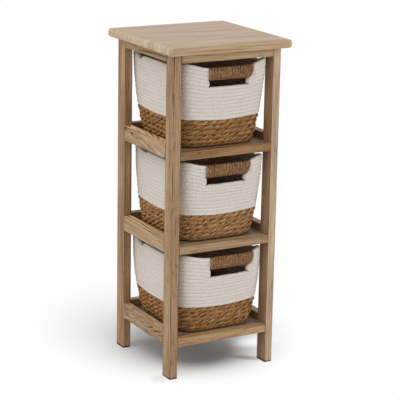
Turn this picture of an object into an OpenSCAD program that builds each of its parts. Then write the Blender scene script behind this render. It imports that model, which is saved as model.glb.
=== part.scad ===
// Narrow drawer unit: an open wooden frame with three shelves and a woven basket on each shelf.
// Each basket pulls out to the front like a drawer. All sizes are in millimetres.
// The origin is on the floor under the middle of the unit. X runs right, Y to the back, Z up.

/* [Frame] */
// Height from the floor to the top of the board
total_h = 790; // [700:5:900]
// Width across the outer faces of the posts
frame_w = 281; // [250:1:360]
// Depth across the outer faces of the posts
frame_d = 278; // [250:1:360]
// Width of a post, seen from the front
post_w = 20; // [17:1:26]
// Depth of a post, seen from the side
post_d = 37; // [31:1:48]
// Clear height under the rails of the bottom shelf
foot_h = 78; // [50:1:110]
// Rounding along the edges of posts and rails
edge_r = 1.5; // [0.5:0.25:3]

/* [Top board] */
// Thickness of the top board
board_t = 20; // [16:1:28]
// Overhang of the board past the posts at the left and right
board_side_lap = 19; // [5:1:40]
// Overhang of the board past the posts at the front and back
board_end_lap = 15.5; // [5:0.5:40]
// Rounding of the board's left and right edges
board_edge_r = 7; // [2:0.5:7.5]

/* [Rails and aprons] */
// Thickness of every rail and apron
rail_t = 20; // [16:1:26]
// Height of the rail at the front of each shelf
front_rail_h = 20; // [17:1:26]
// Height of the rails at the sides and back of each shelf
side_rail_h = 37; // [32:1:48]
// Height of the aprons under the board
apron_h = 20; // [16:1:30]

/* [Shelf panels] */
// Thickness of a shelf panel
panel_t = 6; // [4:0.5:8]
// Depth of the grooves that hold a shelf panel
groove_depth = 5; // [3:0.5:5.5]
// Play between a shelf panel and its grooves
panel_play = 0.3; // [0.1:0.1:0.5]

/* [Dowels and screws] */
// Diameter of a dowel
dowel_d = 8; // [6:0.5:9]
// Length of a dowel
dowel_len = 30; // [24:1:40]
// How deep the dowels of the front and back rails go into a post
dowel_bite = 12; // [8:0.5:14]
// Distance of a dowel from the top or bottom of a side or back rail
dowel_edge = 9; // [6:0.5:11]
// Wood left in a post between the dowels from the side and those across
dowel_wall = 8; // [3:0.5:10]
// Play around a dowel
dowel_play = 0.1; // [0.05:0.05:0.2]
// Diameter of a screw that holds the board
screw_d = 4; // [3:0.5:5]
// Diameter of a screw head
screw_head_d = 8; // [6.5:0.5:10]
// How deep a screw goes into the board
screw_bite = 14; // [8:1:15]
// Play around a screw
screw_play = 0.2; // [0.1:0.1:0.3]

/* [Baskets] */
// Gap between the rim of a basket and the post on each side
rim_side_gap = 3.5; // [2:0.5:8]
// Gap between the corners of the rim and the rail above
rim_top_gap = 3.5; // [2:0.5:12]
// Distance of the rim from the front and back planes of the frame
rim_end_set = 1; // [0:0.5:8]
// How much narrower the base is than the rim, on each side
base_taper = 11; // [6:1:24]
// Distance of the base from the front plane of the frame
base_front_set = 17; // [10:1:28]
// Gap between the base and the back rail
base_back_gap = 5.5; // [5:0.5:12]
// Thickness of the wall, one rope or braid thick
wall_t = 9.5; // [8.5:0.5:12]
// Thickness of the woven base
base_t = 9; // [6:0.5:12]
// Height of the seam between the brown weave and the white rope
seam_h = 66; // [40:1:100]
// Outward bulge of the wall, as a share of its taper at half height
wall_bulge = 0.25; // [0:0.01:0.25]
// Squareness of the rim seen from above, where 2 is an ellipse
rim_squareness = 7.5; // [4:0.1:9]
// Squareness of the base seen from above
base_squareness = 5; // [4:0.1:7]
// How far the rim dips at the handle
rim_dip = 12; // [4:1:24]
// Length of the slope between the dip at the handle and the full height of the rim
dip_run = 60; // [30:1:64]
// How far the rim of the bottom, middle and top basket dips along its sides
side_dip = [15, 10, 10]; // [4:1:18]
// Length of the slope between the dip of a side and the full height of the rim
side_run = 50; // [30:1:70]
// Running gap between a basket and its shelf
shelf_gap = 0.3; // [0.2:0.1:1]

/* [Handle] */
// Width of the cut-out for the handle
slot_w = 102; // [80:1:120]
// Clear height of the finger gap under the handle
finger_gap = 17; // [10:1:28]
// Height of the bar inside the handle
bar_h = 18; // [12:0.5:22]
// Thickness of the bar inside the handle
bar_t = 8; // [5:0.5:9]
// Diameter of the cord that is wound round the bar
cord_d = 5.4; // [4.6:0.1:6]
// Gap between the turns of the cord
turn_gap = 0.5; // [0.45:0.05:1.5]
// Gap between the cord and what it is wound round or ends in
cord_play = 0.3; // [0.1:0.05:0.5]
// Radius of the cord's bend where it leaves the wall
cord_bend_r = 3.5; // [3:0.25:4.5]
// Sideways shift of the handle of the bottom, middle and top basket
handle_shift = [17, 3, 3]; // [-20:1:20]

/* [Hidden] */
LEVELS = ["bottom", "middle", "top"];

// Colours of the oak, the panels, the pegs, the steel, the rope, the braid and the cord
oak = "#C39B6B";
panel_oak = "#A98A63";
peg_beech = "#D9BD8C";
steel = "#9A9C9E";
white_rope = "#EDE8DF";
brown_braid = "#A8743C";
brown_cord = "#9A6C3E";

// Sides and ends are signs along X and Y
LEFT = -1;
RIGHT = 1;
FRONT = -1;
BACK = 1;

// Heights and places in the frame
post_h = total_h - board_t;
inner_w = frame_w - 2 * post_w;
side_span = frame_d - 2 * post_d;
opening_h = (post_h - apron_h - foot_h) / len(LEVELS) - front_rail_h;
apron_mid_z = post_h - apron_h / 2;
side_axis_x = frame_w / 2 - rail_t / 2;
end_axis_y = frame_d / 2 - rail_t / 2;
side_inner_x = frame_w / 2 - rail_t;
end_inner_y = frame_d / 2 - rail_t;
function rail_z(level) = foot_h + level * (front_rail_h + opening_h);
function shelf_z(level) = rail_z(level) + front_rail_h;

// A dowel in a side rail stops in the post before it meets the dowels that cross the post
side_dowel_bite = post_d - rail_t / 2 - dowel_d / 2 - dowel_wall;
side_dowel_y = frame_d / 2 - post_d + side_dowel_bite - dowel_len / 2;
end_dowel_x = inner_w / 2 + dowel_bite - dowel_len / 2;
board_screw_x = inner_w / 4;
screw_head_h = (screw_head_d - screw_d) / 2;
// Depth of a countersink's straight mouth, which keeps the head just below the surface
screw_sink = 0.5;
// Overlap that lets a cutting shape run past a face
past = 1;

// Places in a basket, measured from its own underside
rim_h = opening_h - shelf_gap - rim_top_gap;
rim_half_w = inner_w / 2 - rim_side_gap;
rim_half_d = frame_d / 2 - rim_end_set;
base_half_w = rim_half_w - base_taper;
base_front_y = -frame_d / 2 + base_front_set;
base_back_y = end_inner_y - base_back_gap;
base_half_d = (base_back_y - base_front_y) / 2;
base_mid_y = (base_back_y + base_front_y) / 2;
// Points round a wall, and the rounding of its rim and of the base's lower edge
wall_sides = 48;
rim_round = 3.5;
rim_flat_inset = 2.5;
base_round = 4;
base_round_inset = 5;
// How far the bar of the handle is let into the wall
bar_seat = 3;
// Length of the rim, from the front and back, that keeps its full height on the sides
rim_keep = 8;

// Cord round the handle: rings in a turn and sides of the cord
turn_rings = 15;
cord_sides = 6;
cord_r = cord_d / 2;
// A turn is a polygon, so its corners stand out for its sides to clear the bar
turn_swell = 1 / cos(180 / turn_rings);
turn_half_t = (bar_t / 2 + cord_r + cord_play) * turn_swell;
turn_half_h = (bar_h / 2 + cord_r + cord_play) * turn_swell;
wound_half = slot_w / 2 - cord_bend_r;
turn_count = min(24, floor(2 * wound_half / (cord_d + turn_gap)));
turn_pitch = 2 * wound_half / turn_count;
bar_z = rim_h - rim_dip - turn_half_h - cord_r;
slot_z = bar_z - turn_half_h - cord_r - finger_gap;

// Outlines and sections

corner_steps = 4;

// Points of a rectangle with rounded corners, centred on the origin
function rounded_outline(a, b, r) = [
    for (corner = [0 : 3], i = [0 : corner_steps])
        let (
            angle = 90 * corner + 90 * i / corner_steps,
            cx = (corner == 0 || corner == 3 ? 1 : -1) * (a / 2 - r),
            cy = (corner < 2 ? 1 : -1) * (b / 2 - r)
        )
        [cx + r * cos(angle), cy + r * sin(angle)]
];

// A bar that runs along Y, centred on the origin
module bar_along_y(length, width, height) {
    rotate([90, 0, 0])
        linear_extrude(length, center = true)
            polygon(rounded_outline(width, height, edge_r));
}

// A bar that runs along X, centred on the origin
module bar_along_x(length, depth, height) {
    rotate([90, 0, 90])
        linear_extrude(length, center = true)
            polygon(rounded_outline(depth, height, edge_r));
}

// Dowels, and with play the holes they sit in

apron_dowels = [apron_mid_z];
function tall_rail_dowels(level) = [
    rail_z(level) + dowel_edge,
    rail_z(level) + side_rail_h - dowel_edge
];
function front_rail_dowels(level) = [rail_z(level) + front_rail_h / 2];
all_tall_dowels = concat(tall_rail_dowels(0), tall_rail_dowels(1), tall_rail_dowels(2), apron_dowels);
all_front_dowels = concat(front_rail_dowels(0), front_rail_dowels(1), front_rail_dowels(2), apron_dowels);

// Dowels along Y between a side's rails and its posts
module side_dowels(side, heights, ends = [FRONT, BACK], play = 0) {
    for (end = ends, z = heights)
        translate([side * side_axis_x, end * side_dowel_y, z])
            rotate([90, 0, 0])
                cylinder(d = dowel_d + 2 * play, h = dowel_len + 2 * play, center = true, $fn = 32);
}

// Dowels along X between the front or back rails and their posts
module end_dowels(end, heights, sides = [LEFT, RIGHT], play = 0) {
    for (side = sides, z = heights)
        translate([side * end_dowel_x, end * end_axis_y, z])
            rotate([0, 90, 0])
                cylinder(d = dowel_d + 2 * play, h = dowel_len + 2 * play, center = true, $fn = 32);
}

// One screw up through an apron into the board, with its head let into the apron's underside
module board_screw(x, y, play = 0) {
    translate([x, y, post_h - apron_h + screw_sink]) {
        cylinder(d = screw_d + 2 * play, h = apron_h - screw_sink + screw_bite + play, $fn = 24);
        cylinder(d1 = screw_head_d + 2 * play, d2 = screw_d + 2 * play, h = screw_head_h, $fn = 24);
    }
    if (play > 0)
        translate([x, y, post_h - apron_h - past])
            cylinder(d = screw_head_d + 2 * play, h = screw_sink + past, $fn = 24);
}

module end_apron_screws(end, play = 0) {
    for (side = [LEFT, RIGHT])
        board_screw(side * board_screw_x, end * end_axis_y, play);
}

module side_apron_screw(side, play = 0) {
    board_screw(side * side_axis_x, 0, play);
}

module side_dowel_set(side) {
    color(peg_beech)
        side_dowels(side, all_tall_dowels);
}

module end_dowel_set(end) {
    color(peg_beech)
        end_dowels(end, end == BACK ? all_tall_dowels : all_front_dowels);
}

module board_screws() {
    color(steel) {
        end_apron_screws(FRONT);
        end_apron_screws(BACK);
        side_apron_screw(LEFT);
        side_apron_screw(RIGHT);
    }
}

// Frame

module top_board() {
    board_w = frame_w + 2 * board_side_lap;
    board_d = frame_d + 2 * board_end_lap;
    side_r = min(board_edge_r, board_t / 2 - 0.5);
    color(oak)
        difference() {
            translate([0, 0, post_h + board_t / 2])
                intersection() {
                    rotate([90, 0, 0])
                        linear_extrude(board_d, center = true)
                            polygon(rounded_outline(board_w, board_t, side_r));
                    bar_along_x(board_w, board_d, board_t);
                }
            end_apron_screws(FRONT, screw_play);
            end_apron_screws(BACK, screw_play);
            side_apron_screw(LEFT, screw_play);
            side_apron_screw(RIGHT, screw_play);
        }
}

module post(side, end) {
    color(oak)
        difference() {
            translate([side * (frame_w - post_w) / 2, end * (frame_d - post_d) / 2, 0])
                linear_extrude(post_h)
                    polygon(rounded_outline(post_w, post_d, edge_r));
            side_dowels(side, all_tall_dowels, [end], dowel_play);
            end_dowels(end, end == BACK ? all_tall_dowels : all_front_dowels, [side], dowel_play);
        }
}

module end_apron(end) {
    color(oak)
        difference() {
            translate([0, end * end_axis_y, apron_mid_z])
                bar_along_x(inner_w, rail_t, apron_h);
            end_dowels(end, apron_dowels, play = dowel_play);
            end_apron_screws(end, screw_play);
        }
}

module side_apron(side) {
    color(oak)
        difference() {
            translate([side * side_axis_x, 0, apron_mid_z])
                bar_along_y(side_span, rail_t, apron_h);
            side_dowels(side, apron_dowels, play = dowel_play);
            side_apron_screw(side, screw_play);
        }
}

module front_rail(level) {
    color(oak)
        difference() {
            translate([0, -end_axis_y, rail_z(level) + front_rail_h / 2])
                bar_along_x(inner_w, rail_t, front_rail_h);
            end_dowels(FRONT, front_rail_dowels(level), play = dowel_play);
        }
}

// The back rail has a groove in its inner face for the shelf panel
module back_rail(level) {
    color(oak)
        difference() {
            translate([0, end_axis_y, rail_z(level) + side_rail_h / 2])
                bar_along_x(inner_w, rail_t, side_rail_h);
            end_dowels(BACK, tall_rail_dowels(level), play = dowel_play);
            translate([-inner_w / 2 - past, end_inner_y - past, shelf_z(level) - panel_t])
                cube([inner_w + 2 * past, groove_depth + past, panel_t + panel_play]);
        }
}

// A side rail has a groove in its inner face for the shelf panel
module side_rail(side, level) {
    color(oak)
        difference() {
            translate([side * side_axis_x, 0, rail_z(level) + side_rail_h / 2])
                bar_along_y(side_span, rail_t, side_rail_h);
            side_dowels(side, tall_rail_dowels(level), play = dowel_play);
            translate([side * (side_inner_x + (groove_depth - past) / 2), 0, shelf_z(level) - panel_t])
                translate([0, 0, (panel_t + panel_play) / 2])
                    cube([groove_depth + past, side_span + 2 * past, panel_t + panel_play], center = true);
        }
}

// A shelf panel butts against the front rail and lies in the grooves of the other three
module shelf_panel(level) {
    front_y = -end_inner_y;
    back_y = end_inner_y + groove_depth - panel_play;
    tongue_half_w = side_inner_x + groove_depth - panel_play;
    tongue_half_d = side_span / 2 - panel_play;
    body_half_w = inner_w / 2 - panel_play;
    color(panel_oak)
        translate([0, 0, shelf_z(level) - panel_t])
            linear_extrude(panel_t)
                union() {
                    translate([-body_half_w, front_y])
                        square([2 * body_half_w, back_y - front_y]);
                    square([2 * tongue_half_w, 2 * tongue_half_d], center = true);
                }
}

// Basket walls

// Share of the taper that the wall has gained at height z
function wall_share(z) = z / rim_h + 4 * wall_bulge * z / rim_h * (1 - z / rim_h);
function between(low, high, share) = low + (high - low) * share;
function signed_power(value, power) = sign(value) * pow(abs(value), power);

// A point of the wall at an angle seen from above, moved in from the outer face by inset
function wall_point(angle, z, inset) =
    let (
        power = 2 / between(base_squareness, rim_squareness, z / rim_h),
        half_w = between(base_half_w, rim_half_w, wall_share(z)) - inset,
        half_d = between(base_half_d, rim_half_d, wall_share(z)) - inset,
        mid_y = between(base_mid_y, 0, wall_share(z))
    )
    [half_w * signed_power(cos(angle), power), mid_y + half_d * signed_power(sin(angle), power), z];

function eased(share) =
    let (s = min(1, max(0, share)))
    s * s * (3 - 2 * s);

// Height of the rim at a point of it, which dips at the handle in front and along the sides
function rim_z(point, level) =
    let (
        from_handle = abs(point.x - handle_shift[level]) - slot_w / 2,
        at_handle = point.y < 0 ? 1 - eased(from_handle / dip_run) : 0,
        at_side = eased((rim_half_d - rim_keep - abs(point.y)) / side_run)
    )
    rim_h - rim_dip * at_handle - side_dip[level] * at_side;

function flat_ring(z, inset) = [for (i = [0 : wall_sides - 1]) wall_point(360 * i / wall_sides, z, inset)];

// A ring between the seam and the rim, where share is 0 at the seam and 1 at drop below the rim
function rope_ring(share, inset, drop, level) = [
    for (i = [0 : wall_sides - 1])
        let (
            angle = 360 * i / wall_sides,
            top = rim_z(wall_point(angle, rim_h, 0), level) - drop
        )
        wall_point(angle, between(seam_h, top, share), inset)
];

function ring_faces(low, high, sides) = [
    for (i = [0 : sides - 1], half = [0, 1])
        let (
            next = (i + 1) % sides,
            a = low * sides + i,
            b = low * sides + next,
            c = high * sides + i,
            d = high * sides + next
        )
        half == 0 ? [a, c, b] : [b, c, d]
];

// A closed wall from a list of rings that go up the outside and down the inside
module ring_wall(rings) {
    count = len(rings);
    polyhedron(
        points = [for (ring = rings) each ring],
        faces = [for (r = [0 : count - 1]) each ring_faces(r, (r + 1) % count, wall_sides)]
    );
}

// A solid from a stack of rings, closed with fans round a middle point at each end
module ring_stack(rings) {
    count = len(rings);
    last = (count - 1) * wall_sides;
    low_mid = count * wall_sides;
    high_mid = low_mid + 1;
    polyhedron(
        points = [
            for (ring = rings) each ring,
            [0, base_mid_y, rings[0][0].z],
            [0, base_mid_y, rings[count - 1][0].z]
        ],
        faces = [
            for (r = [0 : count - 2]) each ring_faces(r, r + 1, wall_sides),
            for (i = [0 : wall_sides - 1]) [low_mid, i, (i + 1) % wall_sides],
            for (i = [0 : wall_sides - 1]) [high_mid, last + (i + 1) % wall_sides, last + i]
        ]
    );
}

module on_shelf(level) {
    translate([0, 0, shelf_z(level) + shelf_gap])
        children();
}

module basket_base(level) {
    color(brown_braid)
        on_shelf(level)
            ring_stack([
                flat_ring(0, base_round_inset),
                flat_ring(base_round / 3, base_round_inset / 4),
                flat_ring(base_round, 0),
                flat_ring(base_t, 0)
            ]);
}

module basket_weave(level) {
    steps = 3;
    color(brown_braid)
        on_shelf(level)
            ring_wall([
                for (i = [0 : steps]) flat_ring(between(base_t, seam_h, i / steps), 0),
                for (i = [steps : -1 : 0]) flat_ring(between(base_t, seam_h, i / steps), wall_t)
            ]);
}

// Middle of the front wall's thickness at the height of the handle bar
bar_y = wall_point(-90, bar_z, wall_t / 2).y;

// The section of the bar, an ellipse in straight steps
module bar_section() {
    steps = 16;
    polygon([for (i = [0 : steps - 1]) [bar_t / 2 * cos(360 * i / steps), bar_h / 2 * sin(360 * i / steps)]]);
}

module handle_bar() {
    translate([0, bar_y, bar_z])
        rotate([90, 0, 90])
            linear_extrude(slot_w + 2 * bar_seat, center = true)
                bar_section();
}

module handle_cut_out() {
    depth = 4 * wall_t;
    height = rim_h - slot_z + past;
    translate([-slot_w / 2, bar_y - depth / 2, slot_z])
        cube([slot_w, depth, height]);
}

// Holes in the sides of the cut-out that take the two ends of the cord
module cord_pockets() {
    reach = slot_w / 2 + cord_d + cord_play;
    translate([0, bar_y, bar_z - turn_half_h])
        rotate([0, 90, 0])
            cylinder(d = cord_d + 2 * cord_play, h = 2 * reach, center = true, $fn = 24);
}

module basket_rope(level) {
    shift = handle_shift[level];
    steps = 4;
    color(white_rope)
        on_shelf(level)
            union() {
                difference() {
                    ring_wall([
                        for (i = [0 : steps]) rope_ring(i / steps, 0, rim_round, level),
                        rope_ring(1, rim_flat_inset, 0, level),
                        rope_ring(1, wall_t - rim_flat_inset, 0, level),
                        for (i = [steps : -1 : 0]) rope_ring(i / steps, wall_t, rim_round, level)
                    ]);
                    translate([shift, 0, 0]) {
                        handle_cut_out();
                        cord_pockets();
                    }
                }
                translate([shift, 0, 0])
                    handle_bar();
            }
}

// Cord wound round the handle bar

// A point of the winding after so many turns, from the bar's middle, with its outside at -Y
function turn_point(turn) = [
    turn_pitch * turn - wound_half,
    -turn_half_t * sin(360 * turn),
    -turn_half_h * cos(360 * turn)
];

// The cord comes out of its pocket along X and bends into its first turn
function level_share(y) = sqrt(1 - pow(y / turn_half_t, 2));
half_bend = cord_bend_r * (1 - sqrt(0.5));
cord_start = [
    [-slot_w / 2 - cord_d, 0, -turn_half_h],
    [-slot_w / 2, 0, -turn_half_h],
    [-wound_half - half_bend, -half_bend, -turn_half_h * level_share(half_bend)],
    [-wound_half, -cord_bend_r, -turn_half_h * level_share(cord_bend_r)]
];
cord_path = concat(
    cord_start,
    [for (k = [1 : turn_rings * turn_count - 1]) turn_point(k / turn_rings)],
    [for (i = [len(cord_start) - 1 : -1 : 0]) [-cord_start[i].x, -cord_start[i].y, cord_start[i].z]]
);

function unit(v) = v / norm(v);

// Direction of the cord at a point of its path, straight along X in both ends
function cord_direction(i) =
    let (last = len(cord_path) - 1)
    i < 2 || i > last - 2 ? [1, 0, 0] : unit(cord_path[i + 1] - cord_path[i - 1]);

function cord_ring(i) =
    let (
        along = cord_direction(i),
        away = [0, cord_path[i].y, cord_path[i].z],
        out = unit(away - (away * along) * along),
        across = cross(along, out)
    )
    [
        for (k = [0 : cord_sides - 1])
            cord_path[i] + cord_r * (cos(360 * k / cord_sides) * out + sin(360 * k / cord_sides) * across)
    ];

// Least gap between parts of the cord that are five or more rings apart
function least_cord_gap() =
    let (last = len(cord_path) - 1, apart = 5)
    min([for (i = [0 : last - apart], j = [i + apart : last]) norm(cord_path[i] - cord_path[j])]) - cord_d;

// Least gap between the cord and the bar, measured at the middle of each step of the path
function bar_gap(i) =
    let (
        mid = (cord_path[i] + cord_path[i + 1]) / 2,
        distance = norm([mid.y, mid.z]),
        angle = atan2(mid.z, mid.y),
        bar_radius = 1 / norm([cos(angle) / (bar_t / 2), sin(angle) / (bar_h / 2)])
    )
    distance - bar_radius - cord_r;
function least_bar_gap() = min([for (i = [1 : len(cord_path) - 3]) bar_gap(i)]);

module wound_cord() {
    count = len(cord_path);
    last = (count - 1) * cord_sides;
    polyhedron(
        points = [for (i = [0 : count - 1]) each cord_ring(i)],
        faces = [
            for (r = [0 : count - 2]) each ring_faces(r, r + 1, cord_sides),
            for (k = [1 : cord_sides - 2]) [0, k, k + 1],
            for (k = [1 : cord_sides - 2]) [last, last + k + 1, last + k]
        ]
    );
}

module basket_wrap(level) {
    echo(str("Turns ", turn_count, ", least gap of the cord to itself ", least_cord_gap(),
        ", to the bar ", least_bar_gap()));
    color(brown_cord)
        on_shelf(level)
            translate([handle_shift[level], bar_y, bar_z])
                wound_cord();
}

top_board();
post(LEFT, FRONT);  // post_front_left
post(RIGHT, FRONT);  // post_front_right
post(LEFT, BACK);  // post_back_left
post(RIGHT, BACK);  // post_back_right
end_apron(FRONT);  // apron_front
end_apron(BACK);  // apron_back
side_apron(LEFT);  // apron_left
side_apron(RIGHT);  // apron_right
front_rail(0);  // bottom_front_rail
back_rail(0);  // bottom_back_rail
side_rail(LEFT, 0);  // bottom_left_rail
side_rail(RIGHT, 0);  // bottom_right_rail
shelf_panel(0);  // bottom_shelf_panel
front_rail(1);  // middle_front_rail
back_rail(1);  // middle_back_rail
side_rail(LEFT, 1);  // middle_left_rail
side_rail(RIGHT, 1);  // middle_right_rail
shelf_panel(1);  // middle_shelf_panel
front_rail(2);  // top_front_rail
back_rail(2);  // top_back_rail
side_rail(LEFT, 2);  // top_left_rail
side_rail(RIGHT, 2);  // top_right_rail
shelf_panel(2);  // top_shelf_panel
side_dowel_set(LEFT);  // left_dowels
side_dowel_set(RIGHT);  // right_dowels
end_dowel_set(FRONT);  // front_dowels
end_dowel_set(BACK);  // back_dowels
board_screws();
basket_base(0);  // bottom_basket_base
basket_weave(0);  // bottom_basket_weave
basket_rope(0);  // bottom_basket_rope
basket_wrap(0);  // bottom_basket_handle_wrap
basket_base(1);  // middle_basket_base
basket_weave(1);  // middle_basket_weave
basket_rope(1);  // middle_basket_rope
basket_wrap(1);  // middle_basket_handle_wrap
basket_base(2);  // top_basket_base
basket_weave(2);  // top_basket_weave
basket_rope(2);  // top_basket_rope
basket_wrap(2);  // top_basket_handle_wrap
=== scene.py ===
"""A narrow wooden drawer unit whose three drawers are woven baskets with cord-wound handles."""

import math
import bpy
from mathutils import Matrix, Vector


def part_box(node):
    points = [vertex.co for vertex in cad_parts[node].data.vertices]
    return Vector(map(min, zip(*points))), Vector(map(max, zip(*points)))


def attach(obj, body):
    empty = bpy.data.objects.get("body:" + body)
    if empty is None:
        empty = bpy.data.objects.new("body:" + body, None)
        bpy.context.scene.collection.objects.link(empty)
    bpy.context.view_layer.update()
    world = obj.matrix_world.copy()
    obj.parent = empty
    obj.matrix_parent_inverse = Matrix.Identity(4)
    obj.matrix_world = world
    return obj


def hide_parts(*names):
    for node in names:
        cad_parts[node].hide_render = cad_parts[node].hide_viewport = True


bl_info = {
    "name": "Basket Drawer Unit",
    "version": (1, 0, 0),
    "blender": (4, 5, 0),
    "location": "3D View > Sidebar > Drawer Unit",
    "description": "Finishes the wood of a drawer unit and weaves its three baskets",
    "category": "Object",
}

import bmesh
import bpy
from bpy.props import FloatProperty, FloatVectorProperty, IntProperty, PointerProperty
from mathutils import Euler, Matrix, Vector, noise

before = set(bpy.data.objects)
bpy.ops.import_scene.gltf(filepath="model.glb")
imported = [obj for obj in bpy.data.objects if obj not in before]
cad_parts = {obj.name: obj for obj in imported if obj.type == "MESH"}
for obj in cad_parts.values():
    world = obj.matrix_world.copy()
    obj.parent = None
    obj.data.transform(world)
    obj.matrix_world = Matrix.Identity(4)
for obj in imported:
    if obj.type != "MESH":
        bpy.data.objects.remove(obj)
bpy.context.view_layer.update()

LEVELS = ("bottom", "middle", "top")
SIDES = ("front", "back", "left", "right")

# Depth of the pocket in which each end of the handle's cord is held, past the cut-out
CORD_POCKET = 0.0054
# Share of its taper by which a basket's wall bulges at half height
WALL_BULGE = 0.25
# Squareness of a basket seen from above, at its base and at its rim
BASE_SQUARENESS = 4.8
RIM_SQUARENESS = 7.5
# How far the rim dips at the handle and along the sides, and how long each slope is: to the left of the
# handle and to its right, and at both ends of a side, where the dip keeps away from the corners
HANDLE_DIP = 0.012
HANDLE_DIP_RUN = {"bottom": (0.082, 0.060), "middle": (0.064, 0.060), "top": (0.064, 0.060)}
SIDE_DIP = {"bottom": 0.015, "middle": 0.010, "top": 0.010}
SIDE_DIP_RUN = 0.050
RIM_KEEP = 0.008
# How much lower than the tallest basket's rim each rim stands
RIM_SAG = {"bottom": 0.0026, "middle": 0.0040, "top": 0.0}
# How each basket has settled: how far it bulges at half height, how far its rim is drawn in, and how far the
# rim and the base have moved to the right
FULLNESS = {"bottom": 0.0010, "middle": -0.0009, "top": -0.0008}
DRAWN_IN = {"bottom": 0.0008, "middle": 0.0031, "top": -0.0006}
RIM_SHIFT = {"bottom": 0.0021, "middle": 0.0039, "top": 0.0009}
BASE_SHIFT = {"bottom": 0.0003, "middle": -0.0019, "top": -0.0026}
# How far the lower edge of a basket is rounded inward, and up to which height
BASE_ROUNDING = 0.0048
BASE_ROUNDING_HEIGHT = 0.032
# How much lower than its solid's edge each seam lies, and how far it sags between the corners
SEAM_DROP = {"bottom": 0.0012, "middle": 0.0012, "top": 0.0}
SEAM_SAG = 0.0022
SEAM_CORNER_RISE = 0.0050
# How much of the way to a corner the sag of the seam takes up
SEAM_CORNER_SHARE = 0.88
# Where the rope ends in a step on the left side's rim: its place along Y, and the step's depth
ROPE_END = {"bottom": (0.058, 0.009), "middle": (0.053, 0.005), "top": (0.0666, 0.009)}
# How long that step is in front of its deepest place and behind it
ROPE_END_RUN = (0.007, 0.032)
# Numbers that make each level's irregularities its own
LEVEL_SEED = {"bottom": 11.0, "middle": 37.0, "top": 53.0}
# Steps in which an outline is measured, and the distance under which two points are one
OUTLINE_STEPS = 2880
SAME_PLACE = 1e-6


class WoodSettings(bpy.types.PropertyGroup):
    """Colours and grain of the wooden frame"""

    oak_light: FloatVectorProperty(
        name="Oak, light", description="Colour between the oak's growth rings",
        default=(0.52, 0.35, 0.203), subtype="COLOR", min=0, max=1)
    oak_dark: FloatVectorProperty(
        name="Oak, dark", description="Colour of the oak's growth rings and pores",
        default=(0.235, 0.132, 0.062), subtype="COLOR", min=0, max=1)
    # The board's colours are paler and greyer than the oak's: partly the wood's own colour, partly painted
    # sheen of the light on its top.
    board_light_and_sheen: FloatVectorProperty(
        name="Board, light", description="Colour between the growth rings of the top board",
        default=(0.505, 0.382, 0.286), subtype="COLOR", min=0, max=1)
    board_dark_and_sheen: FloatVectorProperty(
        name="Board, dark", description="Colour of the growth rings of the top board",
        default=(0.375, 0.270, 0.187), subtype="COLOR", min=0, max=1)
    board_edge_light: FloatVectorProperty(
        name="Board edge, light", description="Colour between the growth rings on the board's long edges",
        default=(0.57, 0.405, 0.243), subtype="COLOR", min=0, max=1)
    board_edge_dark: FloatVectorProperty(
        name="Board edge, dark", description="Colour of the growth rings on the board's long edges",
        default=(0.30, 0.185, 0.09), subtype="COLOR", min=0, max=1)
    # Painted shade in part: the panels' colours are darker and browner than the oak's, for the shade under
    # the baskets as well as their own colour.
    panel_light: FloatVectorProperty(
        name="Panel, light", description="Colour between the grain lines of a shelf panel",
        default=(0.30, 0.215, 0.15), subtype="COLOR", min=0, max=1)
    panel_dark: FloatVectorProperty(
        name="Panel, dark", description="Colour of the grain lines of a shelf panel",
        default=(0.18, 0.115, 0.07), subtype="COLOR", min=0, max=1)
    ring_width: FloatProperty(
        name="Ring width", description="Distance between growth rings",
        default=0.0042, unit="LENGTH", min=0.001, max=0.02)


class BasketSettings(bpy.types.PropertyGroup):
    """Rows, strands and colours of the baskets"""

    rope_rows: IntProperty(
        name="Rope rows", description="Rows of white rope between the seam and the rim",
        default=14, min=10, max=20)
    wall_thickness: FloatProperty(
        name="Wall thickness", description="Thickness of a row of rope",
        default=0.0095, unit="LENGTH", min=0.006, max=0.014)
    groove_depth: FloatProperty(
        name="Groove depth", description="Depth of the groove between two rows of rope",
        default=0.0012, unit="LENGTH", min=0.0005, max=0.004)
    braid_rows: IntProperty(
        name="Braid rows", description="Rows of twisted straw between the base and the seam",
        default=5, min=3, max=8)
    straw_twist: FloatProperty(
        name="Straw twist", description="Length in which the strands of a row turn once round each other",
        default=0.045, unit="LENGTH", min=0.02, max=0.08)
    rope_colour: FloatVectorProperty(
        name="Rope", description="Colour of the cotton rope",
        default=(0.66, 0.597, 0.540), subtype="COLOR", min=0, max=1)
    # Painted shade: the inside of the rope wall gets a darker, browner colour.
    rope_inside_shaded: FloatVectorProperty(
        name="Rope, inside", description="Colour of the inside of the rope wall",
        default=(0.53, 0.38, 0.26), subtype="COLOR", min=0, max=1)
    straw_gold: FloatVectorProperty(
        name="Straw, gold", description="Main colour of the braided straw",
        default=(0.305, 0.147, 0.044), subtype="COLOR", min=0, max=1)
    straw_olive: FloatVectorProperty(
        name="Straw, olive", description="Colour of the greener stalks",
        default=(0.255, 0.165, 0.06), subtype="COLOR", min=0, max=1)
    straw_red: FloatVectorProperty(
        name="Straw, red", description="Colour of the redder stalks",
        default=(0.27, 0.105, 0.05), subtype="COLOR", min=0, max=1)
    straw_pale: FloatVectorProperty(
        name="Straw, pale", description="Colour of the dry pale stalks",
        default=(0.49, 0.31, 0.15), subtype="COLOR", min=0, max=1)


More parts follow.
